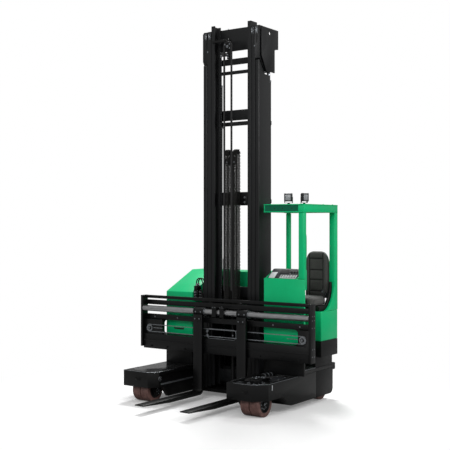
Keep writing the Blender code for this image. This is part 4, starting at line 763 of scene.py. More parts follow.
def makeDeckSheet(look):
    # Smooth cover sheet of the left arm, held by sunk screws
    top = look["deckTop"]
    outline = [(-0.902, 0.183), (-0.902, -0.415), (-0.785, -0.532), (-0.560, -0.532),
               (-0.518, -0.490), (-0.518, 0.183)]
    piece = newPiece()
    pourAll(piece, "deck", outlineShape(outline, "Z", top, top + 0.0026, 0.0008))
    for x in (-0.880, -0.545):
        for y in (-0.36, -0.10, 0.14):
            pourAll(piece, "zinc", rodShape(0.0055, "Z", (x, y, 0), top + 0.0026, top + 0.0034,
                                            12, 0.0004))
    finishPiece("left_arm_deck", piece, "chassis")


def makeRightTray(look):
    # Steering drive, valve block, junction box and their lines in the open tray
    floor = look["trayFloor"]
    piece = newPiece()
    driveX, driveY = 0.735, -0.370
    pourAll(piece, "black", rodShape(0.104, "Z", (driveX, driveY, 0), floor, floor + 0.014, 40),
            rodShape(0.058, "Z", (driveX, driveY, 0), floor + 0.014, floor + 0.052, 32, 0.005),
            rodShape(0.036, "Z", (driveX, driveY, 0), floor + 0.052, floor + 0.066, 28, 0.004),
            blockShape((0.645, 0.690), (-0.345, -0.275), (floor, floor + 0.040), 0.004))
    for index in range(10):
        angle = math.tau * index / 10
        lyingBolt(piece, "zinc", 0.0065, 0.007, driveX + 0.085 * math.cos(angle),
                  driveY + 0.085 * math.sin(angle), floor + 0.014)
    lyingBolt(piece, "zinc", 0.010, 0.006, driveX, driveY, floor + 0.066)
    # Sensor, valve block with plugs, junction box with lid, second motor
    pourAll(piece, "plastic", blockShape((0.570, 0.625), (-0.495, -0.440), (floor, floor + 0.030)),
            blockShape((0.780, 0.885), (-0.165, -0.020), (floor, floor + 0.036), 0.005),
            blockShape((0.775, 0.890), (-0.170, -0.015), (floor + 0.036, floor + 0.041), 0.002))
    pourAll(piece, "black", blockShape((0.560, 0.690), (-0.190, -0.095), (floor, floor + 0.028)))
    for index in range(4):
        lyingBolt(piece, "zinc", 0.009, 0.010, 0.578 + index * 0.031, -0.118, floor + 0.028)
        lyingBolt(piece, "black", 0.006, 0.006, 0.578 + index * 0.031, -0.165, floor + 0.028)
    for x in (0.785, 0.880):
        for y in (-0.158, -0.027):
            lyingBolt(piece, "zinc", 0.004, 0.003, x, y, floor + 0.041)
    pourAll(piece, "black", rodShape(0.030, "Y", (0.620, 0, floor + 0.030),
                                     -0.06, 0.125, 28, 0.004))
    for y in (-0.045, 0.020, 0.085):
        pourAll(piece, "zinc", rodShape(0.0315, "Y", (0.620, 0, floor + 0.030), y, y + 0.008, 28))
    # Lines: four hoses and a cable bundle
    high = floor + 0.028
    routes = (
        ((0.578, -0.195, floor + 0.03), (0.565, -0.26, high), (0.600, -0.37, high),
         (0.680, -0.40, floor + 0.045)),
        ((0.609, -0.195, floor + 0.03), (0.605, -0.25, high + 0.01), (0.640, -0.31, high + 0.012),
         (0.665, -0.31, floor + 0.04)),
        ((0.640, -0.090, floor + 0.03), (0.690, -0.04, high), (0.735, 0.05, high),
         (0.735, 0.182, floor + 0.02)),
        ((0.671, -0.090, floor + 0.03), (0.720, -0.05, high), (0.765, 0.05, high),
         (0.765, 0.182, floor + 0.02)),
        ((0.835, -0.015, floor + 0.016), (0.840, 0.06, floor + 0.014), (0.825, 0.12, floor + 0.014),
         (0.820, 0.182, floor + 0.014)),
        ((0.830, -0.172, floor + 0.016), (0.845, -0.24, floor + 0.014),
          (0.860, -0.32, floor + 0.014), (0.830, -0.44, floor + 0.014),
          (0.700, -0.500, floor + 0.014), (0.626, -0.470, floor + 0.014)),
    )
    for index, route in enumerate(routes):
        pourAll(piece, "rubber", tubeShape(smoothRoute(route, 6), 0.0075 if index < 4 else 0.0055))
    for x, y in ((0.578, -0.200), (0.609, -0.200), (0.640, -0.086), (0.671, -0.086)):
        side = -1 if y < -0.15 else 1
        pourAll(piece, "zinc", boltShape(0.009, 0.014, "Y",
                                         (x, y - side * 0.006, floor + 0.030), side))
    finishPiece("right_arm_tray_parts", piece, "chassis")


def makeStep(look):
    # Perforated sheet on the cab floor; its holes are dark discs, painted shade of the openings
    (lowX, highX), (lowY, highY) = look["stepRange"]
    top = look["stepTop"]
    piece = newPiece()
    pourAll(piece, "plate", blockShape((lowX, highX), (lowY, highY), (top, top + 0.004), 0.0012))
    hole = rodShape(look["stepHole"], "Z", (0, 0, 0), top + 0.0036, top + 0.0044, 12, 0.0002)
    pitch = look["stepPitch"]
    y, row = lowY + pitch * 0.6, 0
    while y < highY - pitch * 0.5:
        x = lowX + pitch * (0.6 + 0.5 * (row % 2))
        while x < highX - pitch * 0.4:
            pour(piece, hole, "rubber", Matrix.Translation((x, y, 0)))
            x += pitch
        y += pitch * 0.86
        row += 1
    hole.free()
    finishPiece("cab_step_sheet", piece, "chassis")


for side in (-1, 1):
    makeArmFittings(side, frameParts)
makeDeckSheet(frameParts)
makeRightTray(frameParts)
makeStep(frameParts)
print("stage: frame fittings")


# Chains: links laid along a route in a plane, each turned along it

def alongRoute(route, pitch):
    # Places and directions spaced by the pitch along a run of 2-D points
    places, left = [], 0.0
    for (u0, v0), (u1, v1) in zip(route, route[1:]):
        length = math.hypot(u1 - u0, v1 - v0)
        travel = left
        while travel < length - 0.00001:
            t = travel / length
            places.append((u0 + (u1 - u0) * t, v0 + (v1 - v0) * t,
                           math.atan2(v1 - v0, u1 - u0)))
            travel += pitch
        left = travel - length
    return places


def linkShape(pitch, height, low, high):
    # A waisted link plate lying along u in the plane of u and v, thick along the third axis
    half, waist = height / 2, height * 0.36
    outline = [(-half * 0.6, -half), (0, -half), (pitch / 2, -waist), (pitch, -half),
               (pitch + half * 0.6, -half * 0.6), (pitch + half * 0.6, half * 0.6),
               (pitch, half), (pitch / 2, waist), (0, half), (-half * 0.6, half * 0.6)]
    return outlineShape([(u, v) for u, v in outline], "Z", low, high, 0)


def layLinks(piece, finish, route, pitch, height, rows, plane, base):
    # Rows of link plates; odd and even links use their own rows so that they overlap
    toPlane = {"XZ": Matrix(((1, 0, 0, 0), (0, 0, 1, 0), (0, 1, 0, 0), (0, 0, 0, 1))),
               "YZ": Matrix(((0, 0, 1, 0), (1, 0, 0, 0), (0, 1, 0, 0), (0, 0, 0, 1)))}[plane]
    shapes = [[linkShape(pitch, height, *row) for row in group] for group in rows]
    for index, (u, v, angle) in enumerate(alongRoute(route, pitch)):
        turn = toPlane @ Matrix.Translation((u, v, base)) @ Matrix.Rotation(angle, 4, "Z")
        for shape in shapes[index % len(shapes)]:
            pour(piece, shape, finish, turn)
    for group in shapes:
        for shape in group:
            shape.free()


chains = {
    # Leaf chains of the free lift: X centres, strand width and plate rows
    "leafX": (-0.070, 0.050), "leafWidth": 0.062, "leafPitch": 0.0190, "leafHeight": 0.0116,
    "leafY": 0.272, "leafRadius": 0.030, "leafTop": 2.830, "leafBottom": 1.052,
    # Roller chain of the fork positioner
    "loopX": 1.050, "loopZ": 0.772, "loopRadius": 0.046, "loopPitch": 0.0127,
    "loopHeight": 0.0094, "loopY": 0.050,
}


def makeLeafChains(look):
    piece = newPiece()
    y, radius = look["leafY"], look["leafRadius"]
    route = [(y - radius, look["leafBottom"])]
    route += [(y + radius * math.cos(math.radians(a)), look["leafTop"]
               + radius * math.sin(math.radians(a))) for a in range(180, -1, -15)]
    route += [(y + radius, look["leafBottom"])]
    half = look["leafWidth"] / 2
    step = look["leafWidth"] / 9
    wide = [(-half + step * k, -half + step * (k + 0.86)) for k in (0, 2, 4, 6, 8)]
    narrow = [(-half + step * k, -half + step * (k + 0.86)) for k in (1, 3, 5, 7)]
    for x in look["leafX"]:
        layLinks(piece, "chain", route, look["leafPitch"], look["leafHeight"], (wide, narrow),
                 "YZ", x)
    # Anchor forks at the carriage end
    for x in look["leafX"]:
        pourAll(piece, "zinc", blockShape((x - half, x + half),
                                          (y - radius - 0.006, y - radius + 0.006),
                                          (look["leafBottom"] - 0.002, look["leafBottom"] + 0.028)))
    finishPiece("free_lift_leaf_chains", piece, bodyOf["lift_chains"],
                stands=("lift_chains",))


def makePositionerChain(look):
    piece = newPiece()
    x, z, radius = look["loopX"], look["loopZ"], look["loopRadius"] - look["loopHeight"] / 2
    route = [(-x, z + radius), (x, z + radius)]
    route += [(x + radius * math.cos(math.radians(a)), z + radius * math.sin(math.radians(a)))
              for a in range(75, -91, -15)]
    route += [(-x, z - radius)]
    route += [(-x - radius * math.cos(math.radians(a)), z - radius * math.sin(math.radians(a)))
              for a in range(75, -91, -15)]
    outer = [(-0.0058, -0.0040), (0.0040, 0.0058)]
    inner = [(-0.0036, 0.0036)]
    layLinks(piece, "zinc", route, look["loopPitch"], look["loopHeight"], (outer, inner), "XZ",
             look["loopY"])
    finishPiece("positioner_roller_chain", piece, bodyOf["positioner_loop"],
                stands=("positioner_loop",))


makeLeafChains(chains)
makePositionerChain(chains)
print("stage: chains")


# Carriage fittings: sprockets, collars, bolts and the lines between the forks
carriage = {
    "sprocketX": 1.050, "sprocketZ": 0.772, "sprocketY": (0.046, 0.054), "sprocketRadius": 0.036,
    "teeth": 18, "shaftY": 0.050, "shaftZ": 1.007, "sleeveRadius": 0.0485, "sleeveHalf": 0.070,
    "forkX": 0.300, "endX": 1.170, "endBoltYs": (0.048, 0.096),
    "endBoltZs": (0.985, 1.030, 0.905, 0.600, 0.680),
}


def faceBolts(piece, finish, places, y, radius=0.008, height=0.008):
    # Bolt heads that stand forward on a face at y
    for x, z in places:
        pourAll(piece, finish, boltShape(radius, height, "Y", (x, y, z), -1))


def makeSprockets(look):
    piece = newPiece()
    low, high = look["sprocketY"]
    for side in (-1, 1):
        x, z = side * look["sprocketX"], look["sprocketZ"]
        outline = []
        for tooth in range(look["teeth"]):
            for offset, radius in ((0.0, 0.0), (0.28, 0.0045), (0.5, 0.0045), (0.78, 0.0)):
                angle = math.tau * (tooth + offset) / look["teeth"]
                reach = look["sprocketRadius"] + radius
                outline.append((x + reach * math.cos(angle), z + reach * math.sin(angle)))
        pourAll(piece, "zinc", outlineShape(outline, "Y", low, high, 0))
        pourAll(piece, "black", rodShape(0.022, "Y", (x, 0, z), low - 0.008, low, 28, 0.002),
                rodShape(0.013, "Y", (x, 0, z), high, 0.0562, 20, 0.001))
        faceBolts(piece, "zinc", ((x, z),), low - 0.008, 0.0095, 0.009)
        # Guard rail behind the strands, and the adjusting screw
        pourAll(piece, "zinc", rodShape(0.0045, "X", (0, 0.050, z + 0.004),
                                        *sorted((side * 0.86, side * 0.995)), 12, 0.001))
    finishPiece("positioner_sprockets", piece, "fork_carriage")


def makeCollars(side, look):
    # Clamp collars of one fork: grooved ends, split line and cap screws
    piece = newPiece()
    x = side * look["forkX"]
    for end in (-1, 1):
        ringLow, ringHigh = sorted((x + end * look["sleeveHalf"],
                                    x + end * (look["sleeveHalf"] - 0.016)))
        pourAll(piece, "black", pipeShape(look["sleeveRadius"], look["sleeveRadius"] + 0.004, "X",
                                          (0, look["shaftY"], look["shaftZ"]),
                                          ringLow, ringHigh, 40))
        pourAll(piece, "zinc", pipeShape(0.0356, 0.0462, "X", (0, look["shaftY"], look["shaftZ"]),
                                         *sorted((x + end * look["sleeveHalf"],
                                                  x + end * (look["sleeveHalf"] + 0.003))), 40,
                                         0.0008))
    faceBolts(piece, "zinc", ((x - 0.036, look["shaftZ"]), (x + 0.036, look["shaftZ"])),
              look["shaftY"] - look["sleeveRadius"] + 0.001, 0.0065, 0.006)
    # Stop block and its screws at the shank's top
    pourAll(piece, "black", blockShape((x - 0.045, x + 0.045), (-0.016, -0.0102), (0.900, 0.955),
                                       0.002))
    faceBolts(piece, "zinc", ((x - 0.030, 0.928), (x + 0.030, 0.928)), -0.016, 0.006, 0.005)
    name = "left" if side < 0 else "right"
    finishPiece(name + "_fork_collars", piece, name + "_fork_body")


def makeCarriageFittings(look):
    piece = newPiece()
    # Bolts through the end plates
    for side in (-1, 1):
        x = side * look["endX"]
        for z in look["endBoltZs"]:
            for y in look["endBoltYs"]:
                inward = 0.006 if y < 0.06 else 0.0
                bolt = boltShape(0.0075, 0.006, "X", (x - side * 0.0062, y + inward, z), side)
                pourAll(piece, "zinc", bolt)
    # Bolts on the lower plate, its ledge, and on the upper plate
    for x in (-1.02, -0.78, -0.52, 0.52, 0.78, 1.02):
        faceBolts(piece, "black", ((x, 0.560),), 0.040, 0.010, 0.008)
    pourAll(piece, "black", blockShape((-1.136, 1.136), (0.031, 0.0398), (0.622, 0.634), 0.0015))
    for x in (-1.0, -0.66, 0.66, 1.0):
        faceBolts(piece, "zinc", ((x, 0.908),), 0.0848, 0.0065, 0.006)
    # Clamp screws of the shaft's middle bracket
    for x in (-0.0775, 0.0275):
        faceBolts(piece, "zinc", ((x - 0.014, 1.068), (x + 0.014, 1.068)), -0.0002, 0.0055, 0.006)
        pourAll(piece, "black", blockShape((x - 0.024, x + 0.024), (-0.006, -0.0002),
                                           (1.020, 1.080), 0.002))
    finishPiece("carriage_fittings", piece, "fork_carriage")


def makeCarriageLines():
    # Bright hose loop between the forks, its anchors, the ledge, and rounded window corners
    piece = newPiece()
    loop = [(x, 0.062, z) for x, z in roundedBox(-0.212, 0.186, 0.706, 0.817, 0.034, 6)]
    pourAll(piece, "zinc", tubeShape(loop + loop[:1], 0.0038))
    pourAll(piece, "zinc", blockShape((-0.222, -0.196), (0.052, 0.074), (0.722, 0.750), 0.003),
            blockShape((-0.222, -0.196), (0.052, 0.074), (0.775, 0.800), 0.003),
            blockShape((-0.205, 0.205), (0.0365, 0.0402), (0.624, 0.632), 0.0006))
    faceBolts(piece, "zinc", ((-0.209, 0.736), (-0.209, 0.788), (0.150, 0.760)),
              0.052, 0.007, 0.008)
    for side, x, radius in ((-1, -0.870, 0.046), (1, 0.990, 0.078)):
        for z, up in ((0.7052, 1), (0.8758, -1)):
            corner = [(x, z), (x - side * radius, z)]
            corner += [(x - side * radius * (1 - math.sin(math.radians(a))),
                        z + up * radius * (1 - math.cos(math.radians(a))))
                       for a in range(15, 91, 15)]
            pourAll(piece, "black", outlineShape(corner, "Y", 0.090, 0.106, 0))
    finishPiece("carriage_lines", piece, "fork_carriage")


makeSprockets(carriage)
for side in (-1, 1):
    makeCollars(side, carriage)
makeCarriageFittings(carriage)
makeCarriageLines()
print("stage: carriage fittings")


# Mast fittings: head pulleys behind their slots, hose guides, cable run, bolts and lift lines
mast = {
    "frontY": 0.230, "slotXs": (0.300, 0.352), "slotWidth": 0.017, "slotZ": (4.055, 4.150),
    "pulleyZ": 4.196, "pulleyReach": 0.040, "headBeamY": 0.360, "runX": (-0.2275, -0.2145),
    "runY": 0.351, "runZ": (0.50, 3.95), "runPitch": 0.030,
}


def makeHeadPulleys(look):
    # Chain pulleys at the mast head: slots drawn as dark sheets, painted shade of the openings,
    # bright flanges over them, cap screws
    piece = newPiece()
    front, half = look["frontY"], look["slotWidth"] / 2
    low, high = look["slotZ"]
    for side in (-1, 1):
        for place in look["slotXs"]:
            x = side * place
            slot = roundedBox(x - half, x + half, low, high, half * 0.8, 3)
            # The slot is a dark sheet on the face: painted shade
            pourAll(piece, "rubber", outlineShape(slot, "Y", front - 0.0012, front - 0.0003, 0))
            for flange in (-0.0085, 0.0085):
                arc = [(x + flange, front + 0.004 - 0.012 * math.cos(math.radians(a)),
                        look["pulleyZ"] + look["pulleyReach"] * math.sin(math.radians(a)))
                       for a in range(-72, 73, 12)]
                pourAll(piece, "zinc", tubeShape(arc, 0.0030, 8))
            pourAll(piece, "chain", rodShape(0.030, "X",
                                            (0, front + 0.0205, look["pulleyZ"] - 0.004),
                                             x - 0.007, x + 0.007, 24, 0.001))
        middle = side * sum(look["slotXs"]) / 2
        faceBolts(piece, "zinc", ((middle, 4.018),), front - 0.0002, 0.007, 0.006)
    finishPiece("mast_head_pulleys", piece, "middle_stage")


def makeHoseGuides(look):
    # Hose sheave face, idler under it, their cheek and an eye bolt on the head beam
    piece = newPiece()
    pourAll(piece, "black", blockShape((-0.034, 0.014), (0.1995, 0.2285), (3.900, 4.000), 0.003),
            rodShape(0.023, "Y", (-0.010, 0, 3.945), 0.176, 0.196, 28, 0.002))
    pourAll(piece, "zinc", rodShape(0.016, "Y", (-0.010, 0, 4.040), 0.1715, 0.1745, 24, 0.001),
            rodShape(0.010, "Y", (-0.010, 0, 3.945), 0.170, 0.176, 20, 0.001),
            rodShape(0.0045, "Z", (-0.117, 0.3535, 0), 4.178, 4.286, 12, 0.001))
    faceBolts(piece, "zinc", ((-0.010, 4.040), (0.022, 4.062), (0.022, 4.018), (-0.042, 4.062),
                              (-0.010, 3.945), (0.004, 3.912)), 0.1714, 0.0065, 0.006)
    for z in (4.190, 4.270):
        pourAll(piece, "black", blockShape((-0.126, -0.108), (0.347, 0.3598),
                                           (z - 0.006, z + 0.006),
                                           0.001))
    for x in (-0.150, 0.150):
        faceBolts(piece, "black", ((x, 4.060), (x, 4.230)),
                  look["headBeamY"] - 0.0002, 0.009, 0.008)
    # Block with a bright pin on the middle beam, and clamps beside it
    pourAll(piece, "black", blockShape((0.092, 0.150), (0.334, 0.3598), (2.240, 2.340), 0.004),
            blockShape((-0.160, -0.110), (0.340, 0.3598), (2.250, 2.330), 0.004))
    faceBolts(piece, "zinc", ((0.121, 2.262), (0.121, 2.318), (-0.135, 2.290)), 0.334, 0.010, 0.007)
    finishPiece("hose_guides", piece, "inner_stage")


def makeCableRun(look):
    # Folded cable carrier beside the left inner post: hinged plastic links, two cables
    piece = newPiece()
    lowX, highX = look["runX"]
    z, top = look["runZ"]
    link = blockShape((lowX, highX), (look["runY"] - 0.0055, look["runY"] + 0.0055),
                      (0, look["runPitch"] * 0.62), 0.0015)
    pin = rodShape(0.0032, "X", (0, look["runY"], look["runPitch"] * 0.81), lowX + 0.001,
                   highX + 0.0006, 8, 0.0004)
    while z < top:
        pour(piece, link, "plastic", Matrix.Translation((0, 0, z)))
        pour(piece, pin, "zinc", Matrix.Translation((0, 0, z)))
        z += look["runPitch"]
    link.free()
    pin.free()
    pourAll(piece, "rubber", rodShape(0.0028, "Z", (-0.2225, look["runY"], 0),
                                      look["runZ"][0], top, 8),
            rodShape(0.0028, "Z", (-0.2170, look["runY"], 0), look["runZ"][0], top, 8))
    finishPiece("cable_run", piece, "inner_stage")


def makeValves():
    # Valve block with hose ends on the left hood's inner wall, lines down to the reach gear
    piece = newPiece()
    pourAll(piece, "black", blockShape((-0.519, -0.455), (0.205, 0.300), (1.120, 1.235), 0.005),
            blockShape((-0.519, -0.470), (0.215, 0.290), (1.235, 1.285), 0.004))
    for z in (1.150, 1.180, 1.210):
        pourAll(piece, "zinc", rodShape(0.0105, "Y", (-0.478, 0, z), 0.186, 0.205, 20, 0.0015),
                rodShape(0.0075, "Y", (-0.478, 0, z), 0.170, 0.186, 16, 0.001))
        pourAll(piece, "zinc", rodShape(0.0105, "X", (0, 0.240, z), -0.455, -0.438, 20, 0.0015))
    for y in (0.232, 0.270):
        pourAll(piece, "zinc", rodShape(0.012, "Z", (-0.490, y, 0), 1.285, 1.312, 20, 0.002))
    faceBolts(piece, "zinc", ((-0.508, 1.132), (-0.508, 1.222)), 0.205, 0.005, 0.005)
    for index, z in enumerate((1.150, 1.180, 1.210)):
        low = 0.70 - 0.03 * index
        y = 0.250 + 0.018 * index
        route = ((-0.440, 0.240, z), (-0.420, 0.242, z - 0.012), (-0.412, y, z - 0.09),
                 (-0.412, y + 0.01, 0.95), (-0.430, y + 0.02, low), (-0.470, y + 0.02, 0.40),
                 (-0.476, y + 0.02, 0.360))
        pourAll(piece, "rubber", tubeShape(smoothRoute(route, 6), 0.0072))
    for index, y in enumerate((0.232, 0.270)):
        route = ((-0.490, y, 1.310), (-0.488, y, 1.345), (-0.470, y + 0.02, 1.372),
                 (-0.448, y + 0.05, 1.345), (-0.440, y + 0.06, 1.250), (-0.440, y + 0.07, 0.90),
                 (-0.470, y + 0.08, 0.50), (-0.478, y + 0.08, 0.360))
        pourAll(piece, "rubber", tubeShape(smoothRoute(route, 6), 0.0072))
    finishPiece("reach_valves", piece, "chassis")


def makeLiftLines():
    # Clamps and pipes of the two lift cylinders, seen from the back
    piece = newPiece()
    for side in (-1, 1):
        x = side * 0.340
        for z in (0.45, 1.35, 2.25, 3.15):
            pourAll(piece, "black", pipeShape(0.0302, 0.036, "Z", (x, 0.499, 0), z, z + 0.045, 32),
                    blockShape((x - 0.045, x + 0.045), (0.4635, 0.4700),
                               (z + 0.006, z + 0.039), 0.002))
            for offset in (-0.039, 0.039):
                pourAll(piece, "zinc", boltShape(0.006, 0.006, "Y",
                                                 (x + offset, 0.4700, z + 0.022), 1))
        pourAll(piece, "zinc", rodShape(0.016, "Y", (x, 0, 0.135), 0.526, 0.548, 20, 0.002))
        route = ((x, 0.546, 0.135), (x, 0.552, 0.180), (x - side * 0.05, 0.520, 0.40),
                 (x - side * 0.06, 0.490, 0.80), (x - side * 0.06, 0.484, 1.60))
        pourAll(piece, "rubber", tubeShape(smoothRoute(route, 8), 0.0085))
        # Gland at the barrel's mouth
        pourAll(piece, "zinc", pipeShape(0.0212, 0.0325, "Z", (x, 0.499, 0), 3.6405, 3.662, 32))
    finishPiece("lift_cylinder_lines", piece, "mast_base")


makeHeadPulleys(mast)
makeHoseGuides(mast)
makeCableRun(mast)
makeValves()
makeLiftLines()
print("stage: mast fittings")


# Seat: two padded pieces. The start shapes give most of the form, and a short cloth simulation
# between the sewn seams adds a few millimetres to it
seat = {
    "centreX": 0.755, "voxel": 0.009, "pressure": 4.0, "frames": 20, "pin": 0.0055,
    "backCap": 0.014, "cushionCap": 0.016, "seamDepth": 0.0100, "seamWidth": 0.0080,
    # Back: inside Y 0.860-0.950 and Z 1.146-1.706, with shoulders above 1.546
    "backBox": ((0.555, 0.915), (0.8604, 0.950), (1.146, 1.706)),
    "backSeams": (1.612, 1.482, 1.369, 1.239), "backBolster": 0.088,
    "backSpan": (1.156, 1.697), "shoulderZ": 1.546, "backHalf": 0.150, "backTopHalf": 0.046,
    "shoulderHalf": 0.104, "backMiddleY": 0.906, "backHalfDepth": 0.036, "bolsterRise": 0.013,
    "cushionBox": ((0.555, 0.915), (0.460, 0.8598), (1.0910, 1.201)),
    "cushionSpan": (1.0955, 1.187), "cushionHalf": 0.155, "cushionMiddleY": 0.663,
    "cushionHalfLength": 0.187, "cushionSeams": (0.585, 0.705), "cushionBolster": 0.098,
}


def boxy(angle, power):
    # A superellipse: rounded square for low powers
    c, s = math.cos(angle), math.sin(angle)
    return (math.copysign(abs(c) ** power, c), math.copysign(abs(s) ** power, s))


def loopStack(loops):
    # Joins loops of equal count into a closed form
    shape = bmesh.new()
    rings = [[shape.verts.new(point) for point in loop] for loop in loops]
    for low, high in zip(rings, rings[1:]):
        for k in range(len(low)):
            shape.faces.new((low[k], low[(k + 1) % len(low)], high[(k + 1) % len(low)], high[k]))
    shape.faces.new(list(reversed(rings[0])))
    shape.faces.new(rings[-1])
    bmesh.ops.recalc_face_normals(shape, faces=shape.faces)
    return shape


def backStart(look):
    loops, steps = [], 40
    (low, high), shoulder = look["backSpan"], look["shoulderZ"]
    for k in range(steps + 1):
        z = low + (high - low) * k / steps
        half = look["backHalf"]
        if z > shoulder:
            fall = (z - shoulder) / (high - shoulder + 0.002)
            half = look["backTopHalf"] + look["shoulderHalf"] * math.sqrt(max(0.0, 1 - fall * fall))
        edge = min(z - low, high - z)
        round_ = math.sqrt(max(0.02, 1 - (1 - min(1.0, edge / 0.034)) ** 2))
        loop = []
        for step in range(48):
            u, v = boxy(math.tau * step / 48, 0.42)
            y = look["backMiddleY"] + look["backHalfDepth"] * v * round_
            if v < 0:
                inside = max(0.0, 1 - (abs(u * half) / look["backBolster"]) ** 4)
                y += look["bolsterRise"] * inside * (
                    1.0 if z < 1.612 else max(0.0, 1 - (z - 1.612) / 0.03))
            loop.append((look["centreX"] + u * half * (0.93 + 0.07 * round_), y, z))
        loops.append(loop)
    return loopStack(loops)


def cushionStart(look):
    loops, steps = [], 12
    low, high = look["cushionSpan"]
    for k in range(steps + 1):
        z = low + (high - low) * k / steps
        edge = high - z
        pull = 0.022 * (1 - min(1.0, edge / 0.030)) ** 2
        pull += 0.010 * (1 - min(1.0, (z - low) / 0.014)) ** 2
        loop = []
        for step in range(56):
            u, v = boxy(math.tau * step / 56, 0.34)
            nose = 0.010 * max(0.0, -v) * (1 - abs(z - 1.150) / 0.06)
            loop.append((look["centreX"] + u * (look["cushionHalf"] - pull),
                         look["cushionMiddleY"] + v * (look["cushionHalfLength"] - pull)
                         - nose * 0.5, z))
        loops.append(loop)
    return loopStack(loops)


def seamDistance(point, seams, bolster, along):
    # Distance on the face to the nearest sewn line: cross seams between two bolster seams
    u = point.x - seat["centreX"]
    v = point[along]
    best = 1.0
    if min(seams) - 0.09 < v < max(seams) + 0.004 + 0.10 * (along == 1):
        best = abs(abs(u) - bolster)
    if abs(u) <= bolster:
        best = min([best] + [abs(v - line) for line in seams])
    return best


def clampToBox(point, box):
    return Vector(min(max(value, low), high) for value, (low, high) in zip(point, box))


def evaluatedMesh(item):
    graph = bpy.context.evaluated_depsgraph_get()
    return bpy.data.meshes.new_from_object(item.evaluated_get(graph))


def puffPiece(name, shape, box, cap, seams, bolster, along, facing, look):
    # Remesh, puff between pinned seams, cap the movement, subdivide once, then cut the seams in.
    # The last loop is slow: it reads a normal after a write, so Blender works them all out again
    mesh = bpy.data.meshes.new(name)
    shape.to_mesh(mesh)
    shape.free()
    item = bpy.data.objects.new(name, mesh)
    bpy.context.collection.objects.link(item)
    remesh = item.modifiers.new("remesh", "REMESH")
    remesh.mode = "VOXEL"
    remesh.voxel_size = look["voxel"]
    remesh.use_smooth_shade = True
    item.data = evaluatedMesh(item)
    item.modifiers.clear()
    facing = Vector(facing)
    start = [vertex.co.copy() for vertex in item.data.vertices]
    normals = [vertex.normal.copy() for vertex in item.data.vertices]
    pinned = [index for index, point in enumerate(start)
              if (normals[index].dot(facing) > 0.4
                  and seamDistance(point, seams, bolster, along) < look["pin"])
              or normals[index].dot(facing) < -0.6]
    group = item.vertex_groups.new(name="seams")
    group.add(pinned, 1.0, "REPLACE")
    cloth = item.modifiers.new("cloth", "CLOTH")
    cloth.settings.use_pressure = True
    cloth.settings.uniform_pressure_force = look["pressure"]
    cloth.settings.vertex_group_mass = "seams"
    cloth.settings.effector_weights.gravity = 0.0
    cloth.settings.tension_stiffness = 5.0
    cloth.settings.compression_stiffness = 5.0
    cloth.settings.shear_stiffness = 3.0
    cloth.settings.quality = 2
    cloth.collision_settings.use_collision = False
    for frameNumber in range(1, look["frames"] + 1):
        bpy.context.scene.frame_set(frameNumber)
    item.data = evaluatedMesh(item)
    item.modifiers.clear()
    bpy.context.scene.frame_set(1)
    for vertex, rest in zip(item.data.vertices, start):
        move = vertex.co - rest
        if move.length > cap:
            move *= cap / move.length
        vertex.co = rest + move
    smooth = item.modifiers.new("smooth", "SUBSURF")
    smooth.levels = 1
    smooth.render_levels = 1
    item.data = evaluatedMesh(item)
    item.modifiers.clear()
    item.vertex_groups.clear()
    for vertex in item.data.vertices:
        if vertex.normal.dot(facing) > 0.25:
            near = seamDistance(vertex.co, seams, bolster, along) / look["seamWidth"]
            if near < 3:
                vertex.co -= facing * look["seamDepth"] * math.exp(-near * near)
        vertex.co = clampToBox(vertex.co, box)
    item.data.materials.clear()
    item.data.materials.append(seatCloth(name + "Cloth", "XYZ"[along], look["centreX"],
                                         seams, bolster))
    item.data.shade_smooth()
    return item


def declarePad(item, node):
    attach(item, "chassis")
    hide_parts(node)


back = puffPiece("seat_back_pad", backStart(seat), seat["backBox"], seat["backCap"],
                 seat["backSeams"], seat["backBolster"], 2, (0, -1, 0), seat)
declarePad(back, "seat_backrest")
cushion = puffPiece("seat_cushion_pad", cushionStart(seat), seat["cushionBox"],
                    seat["cushionCap"], seat["cushionSeams"], seat["cushionBolster"], 1,
                    (0, 0, 1), seat)
declarePad(cushion, "seat_cushion")
print("stage: seat pads")


# Cab: lamps, console top, roof beam, grab bar and pedals
cab = {
    "lampHalf": 0.0475, "lampLens": 0.032, "lampRibs": 8,
    "slopeLow": (0.215, 1.410), "slopeHigh": (0.345, 1.510), "levers": (0.772, 0.806, 0.840),
    "roofHoles": (0.62, 0.72, 0.84), "grabRadius": 0.007,
}


